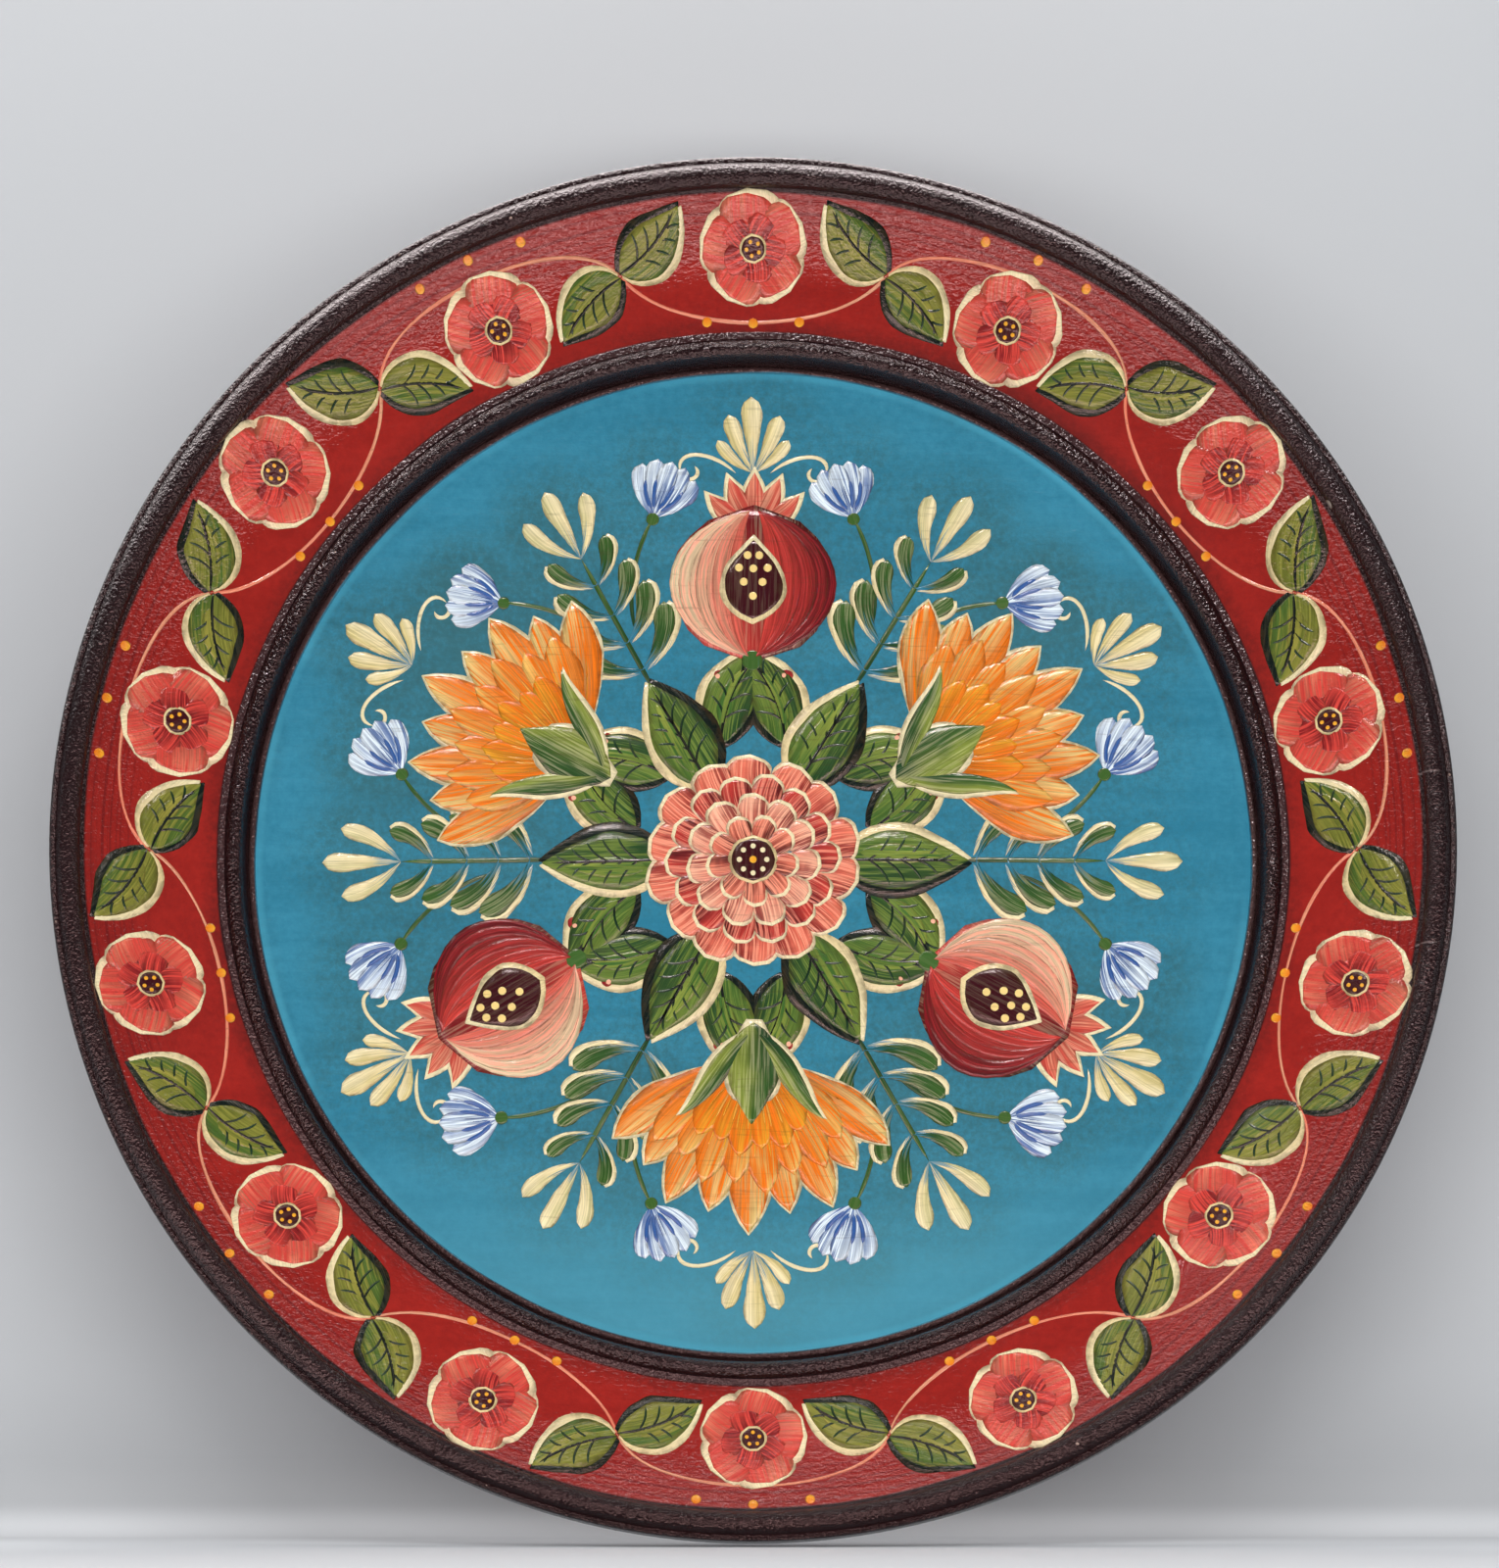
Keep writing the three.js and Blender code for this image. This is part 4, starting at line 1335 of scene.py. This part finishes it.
bm = bmesh.new()
left = -STAGE_WIDTH / 2
profile_points = (
    (left, FLOOR_FRONT, floor_height(FLOOR_FRONT)),
    (left, WALL_Y, floor_height(WALL_Y)),
    (left, WALL_Y, WALL_TOP + floor_height(0)),
)
profile = [bm.verts.new(place) for place in profile_points]
folds = [bm.edges.new(pair) for pair in zip(profile, profile[1:])]
grown = bmesh.ops.extrude_edge_only(bm, edges=folds)
far_side = [g for g in grown["geom"] if isinstance(g, bmesh.types.BMVert)]
bmesh.ops.translate(bm, vec=(STAGE_WIDTH, 0, 0), verts=far_side)
fold = [e for e in bm.edges if all(abs(v.co.y - WALL_Y) < 1e-6 and v.co.z < 1 for v in e.verts)]
bmesh.ops.bevel(bm, geom=fold, offset=SWEEP_RADIUS, segments=16, profile=0.5, affect="EDGES", material=-1)
bmesh.ops.recalc_face_normals(bm, faces=bm.faces[:])
if sum(f.normal.z for f in bm.faces) < 0:
    bmesh.ops.reverse_faces(bm, faces=bm.faces[:])
for face in bm.faces:
    face.smooth = face.calc_area() < 0.2
sweep = new_piece("sweep", bm)

# %% Floor behind the wall
bm = bmesh.new()
bmesh.ops.create_grid(bm, x_segments=1, y_segments=1, size=STAGE_WIDTH / 2)
bmesh.ops.translate(bm, vec=(0, STAGE_WIDTH / 2 + WALL_Y - SWEEP_RADIUS, 0), verts=bm.verts[:])
for vert in bm.verts:
    vert.co.z = floor_height(vert.co.y)
floor_behind = new_piece("floor_behind", bm)

# %% [markdown]
# The paper
# The sheet is matt, and its grey changes with the height on the wall and with the depth on the floor, as
# the photograph's does. Light must come round to the back of the plate, and a view from behind must see the
# plate, so the wall is clear to the rays that carry light, to a camera behind it, and to reflections in the
# plate's back, which is close to it. Far from the plate the floor is darker to light and in reflections
# than to the camera, because the photograph's bright floor ends there.

# %% Paper of the sweep
# Painted light and shade on the paper: the wall's grey is darker low down and mostly lighter towards the top,
# the floor darkens towards the foot of the wall, and a dark band on the floor at the fill lamp evens out the
# bright patch that the lamp throws there.
WALL_SHADE_GREYS = (
    (0.02, 177), (0.03, 179), (0.056, 191), (0.107, 197),
    (0.2, 190), (0.344, 199), (0.409, 202), (0.55, 205),
)
FLOOR_SHADE_GREYS = (
    (-1.62, 235), (-1.57, 125), (-1.3, 170), (-0.95, 205),
    (-0.55, 229), (-0.04, 233), (0.02, 231), (0.06, 211),
)
BACK_TO_WALL = 0.098


def matt_paper(name):
    """A matt paper: its material and its nodes."""
    material, nodes = new_material(name)
    nodes.shader.inputs["Roughness"].default_value = 0.9
    nodes.shader.inputs["Specular IOR Level"].default_value = 0.2
    return material, nodes


paper_material, paper = matt_paper("paper_sweep")
point = paper.place()
axes = paper.xyz(point)
depth, level = axes["Y"], axes["Z"]
from_plate = paper.vector_maths("LENGTH", point)["Value"]
seen_by = paper.add("ShaderNodeLightPath").outputs
to_camera, to_shine = seen_by["Is Camera Ray"], seen_by["Is Glossy Ray"]

far_off = paper.larger(paper.ramp(depth, -0.55, -0.95), paper.ramp(from_plate, 0.55, 0.95))
far_off = paper.times(far_off, paper.minus(1.0, to_camera))
floor_tone = paper.blend(far_off, paper.greys(depth, FLOOR_SHADE_GREYS), linear(98, 100, 103))
floor_end = paper.times(to_shine, paper.ramp(depth, -0.31, -0.42))
floor_tone = paper.blend(floor_end, floor_tone, linear(52, 54, 56))
upright = paper.ramp(level, 0.014, 0.022)
sheet_tone = paper.blend(upright, floor_tone, paper.greys(level, WALL_SHADE_GREYS))
paper.give(paper.shader.inputs["Base Color"], sheet_tone)

open_to_light = paper.times(upright, paper.minus(1.0, paper.larger(to_camera, to_shine)))
close_shine = paper.times(paper.maths("LESS_THAN", seen_by["Ray Length"], BACK_TO_WALL), to_shine)
from_behind = paper.add("ShaderNodeNewGeometry").outputs["Backfacing"]
see_through = paper.larger(paper.larger(open_to_light, from_behind), close_shine)
clear = paper.add("ShaderNodeBsdfTransparent").outputs[0]
either = paper.add("ShaderNodeMixShader", {0: see_through, 1: paper.shader.outputs[0], 2: clear}).outputs[0]
paper.give(paper.tree.nodes["Material Output"].inputs["Surface"], either)
sweep.data.materials.append(paper_material)
print("the sweep wears", paper_material.name, "with", len(paper.tree.nodes), "nodes")

# %% Paper of the floor behind
plain_material, plain = matt_paper("plain_paper")
plain.give(plain.shader.inputs["Base Color"], linear(212, 214, 217))
floor_behind.data.materials.append(plain_material)
print("the floor behind wears", plain_material.name)

# %% [markdown]
# The lights
# A lamp that lights paint also shines in its varnish, and the photograph's shine comes from other places
# than its light. So the two are apart. Three lamps give the light and don't shine: one overhead, one in
# front and a fill from below. Five give only shine: the window's soft gloss over the face, the glow of the
# bright floor in the top of the rim, the line along the top beads, and two narrow ones for the sparks
# beside it. Some of them hang in the picture, but a lamp is hidden from the camera from the start.


# %% Lights
def area_lamp(name, location, aim, size, energy, colour=(1, 1, 1), spread_deg=180):
    """A soft rectangular lamp that faces a point."""
    data = bpy.data.lights.new(name, "AREA")
    data.shape = "RECTANGLE"
    data.size, data.size_y = size
    data.energy = energy
    data.color = colour
    data.spread = math.radians(spread_deg)
    lamp = bpy.data.objects.new(name, data)
    bpy.context.scene.collection.objects.link(lamp)
    lamp.location = location
    lamp.rotation_euler = (Vector(aim) - Vector(location)).to_track_quat("-Z", "Y").to_euler()
    return lamp


PINK = (1, 0.86, 0.86)
light_lamps = [
    area_lamp("overhead", (-0.10, 0.05, 1.35), (0, 0.03, 0.18), (1.0, 0.06), 6),
    area_lamp("front", (0.05, -1.9, 1.05), (0, 0, 0.18), (1.2, 0.25), 14),
    area_lamp("fill", (0, -1.60, -0.10), (0, 0, 0.18), (1.4, 0.2), 11),
]
shine_lamps = [
    area_lamp("window", (0.05, -1.85, 1.25), (0, 0, 0.18), (1.0, 0.12), 1.5),
    area_lamp("floor_glow", (-0.03, -0.24, -0.012), (0, -0.02, 0.34), (0.9, 0.09), 2.1, (1, 0.60, 0.57)),
    area_lamp("bead_line", (-0.09, 0.02, 0.46), (-0.09, 0.02, 0.30), (0.55, 0.14), 2.6, (1, 0.90, 0.89)),
    area_lamp("spark", (-0.07, -0.20, 0.61), (-0.04, -0.01, 0.31), (0.5, 0.10), 0.22, PINK, 24),
    area_lamp("left_spark", (-0.35, -0.20, 0.55), (-0.12, 0, 0.29), (0.3, 0.10), 0.025, PINK, 15),
]
for lamp in light_lamps:
    lamp.visible_glossy = False
for lamp in shine_lamps:
    lamp.visible_diffuse = False
print(len(light_lamps), "lamps for light and", len(shine_lamps), "for shine")

# %% [markdown]
# The world
# The room round the plate is a pale grey. The varnish would mirror its bright front half and lose its depth
# of colour, so reflections of that half are dimmed, and the camera sees the room a little brighter than the
# light that it gives.

# %% World
world = bpy.data.worlds.new("studio")
bpy.context.scene.world = world
world.use_nodes = True
sky = Nodes(world.node_tree)
backdrop = sky.tree.nodes["Background"].inputs
sky.give(backdrop["Color"], linear(216, 219, 224))
seen_by = sky.add("ShaderNodeLightPath").outputs
towards = sky.xyz(sky.add("ShaderNodeTexCoord").outputs["Generated"])["Y"]
dimmed = sky.times(seen_by["Is Glossy Ray"], sky.ramp(towards, 0.1, -0.1))
strength = sky.ramp(dimmed, 0, 1, 0.55, 0.08, ends="LINEAR")
strength = sky.larger(strength, sky.times(seen_by["Is Camera Ray"], 0.75))
sky.give(backdrop["Strength"], strength)
print("the world has", len(sky.tree.nodes), "nodes")
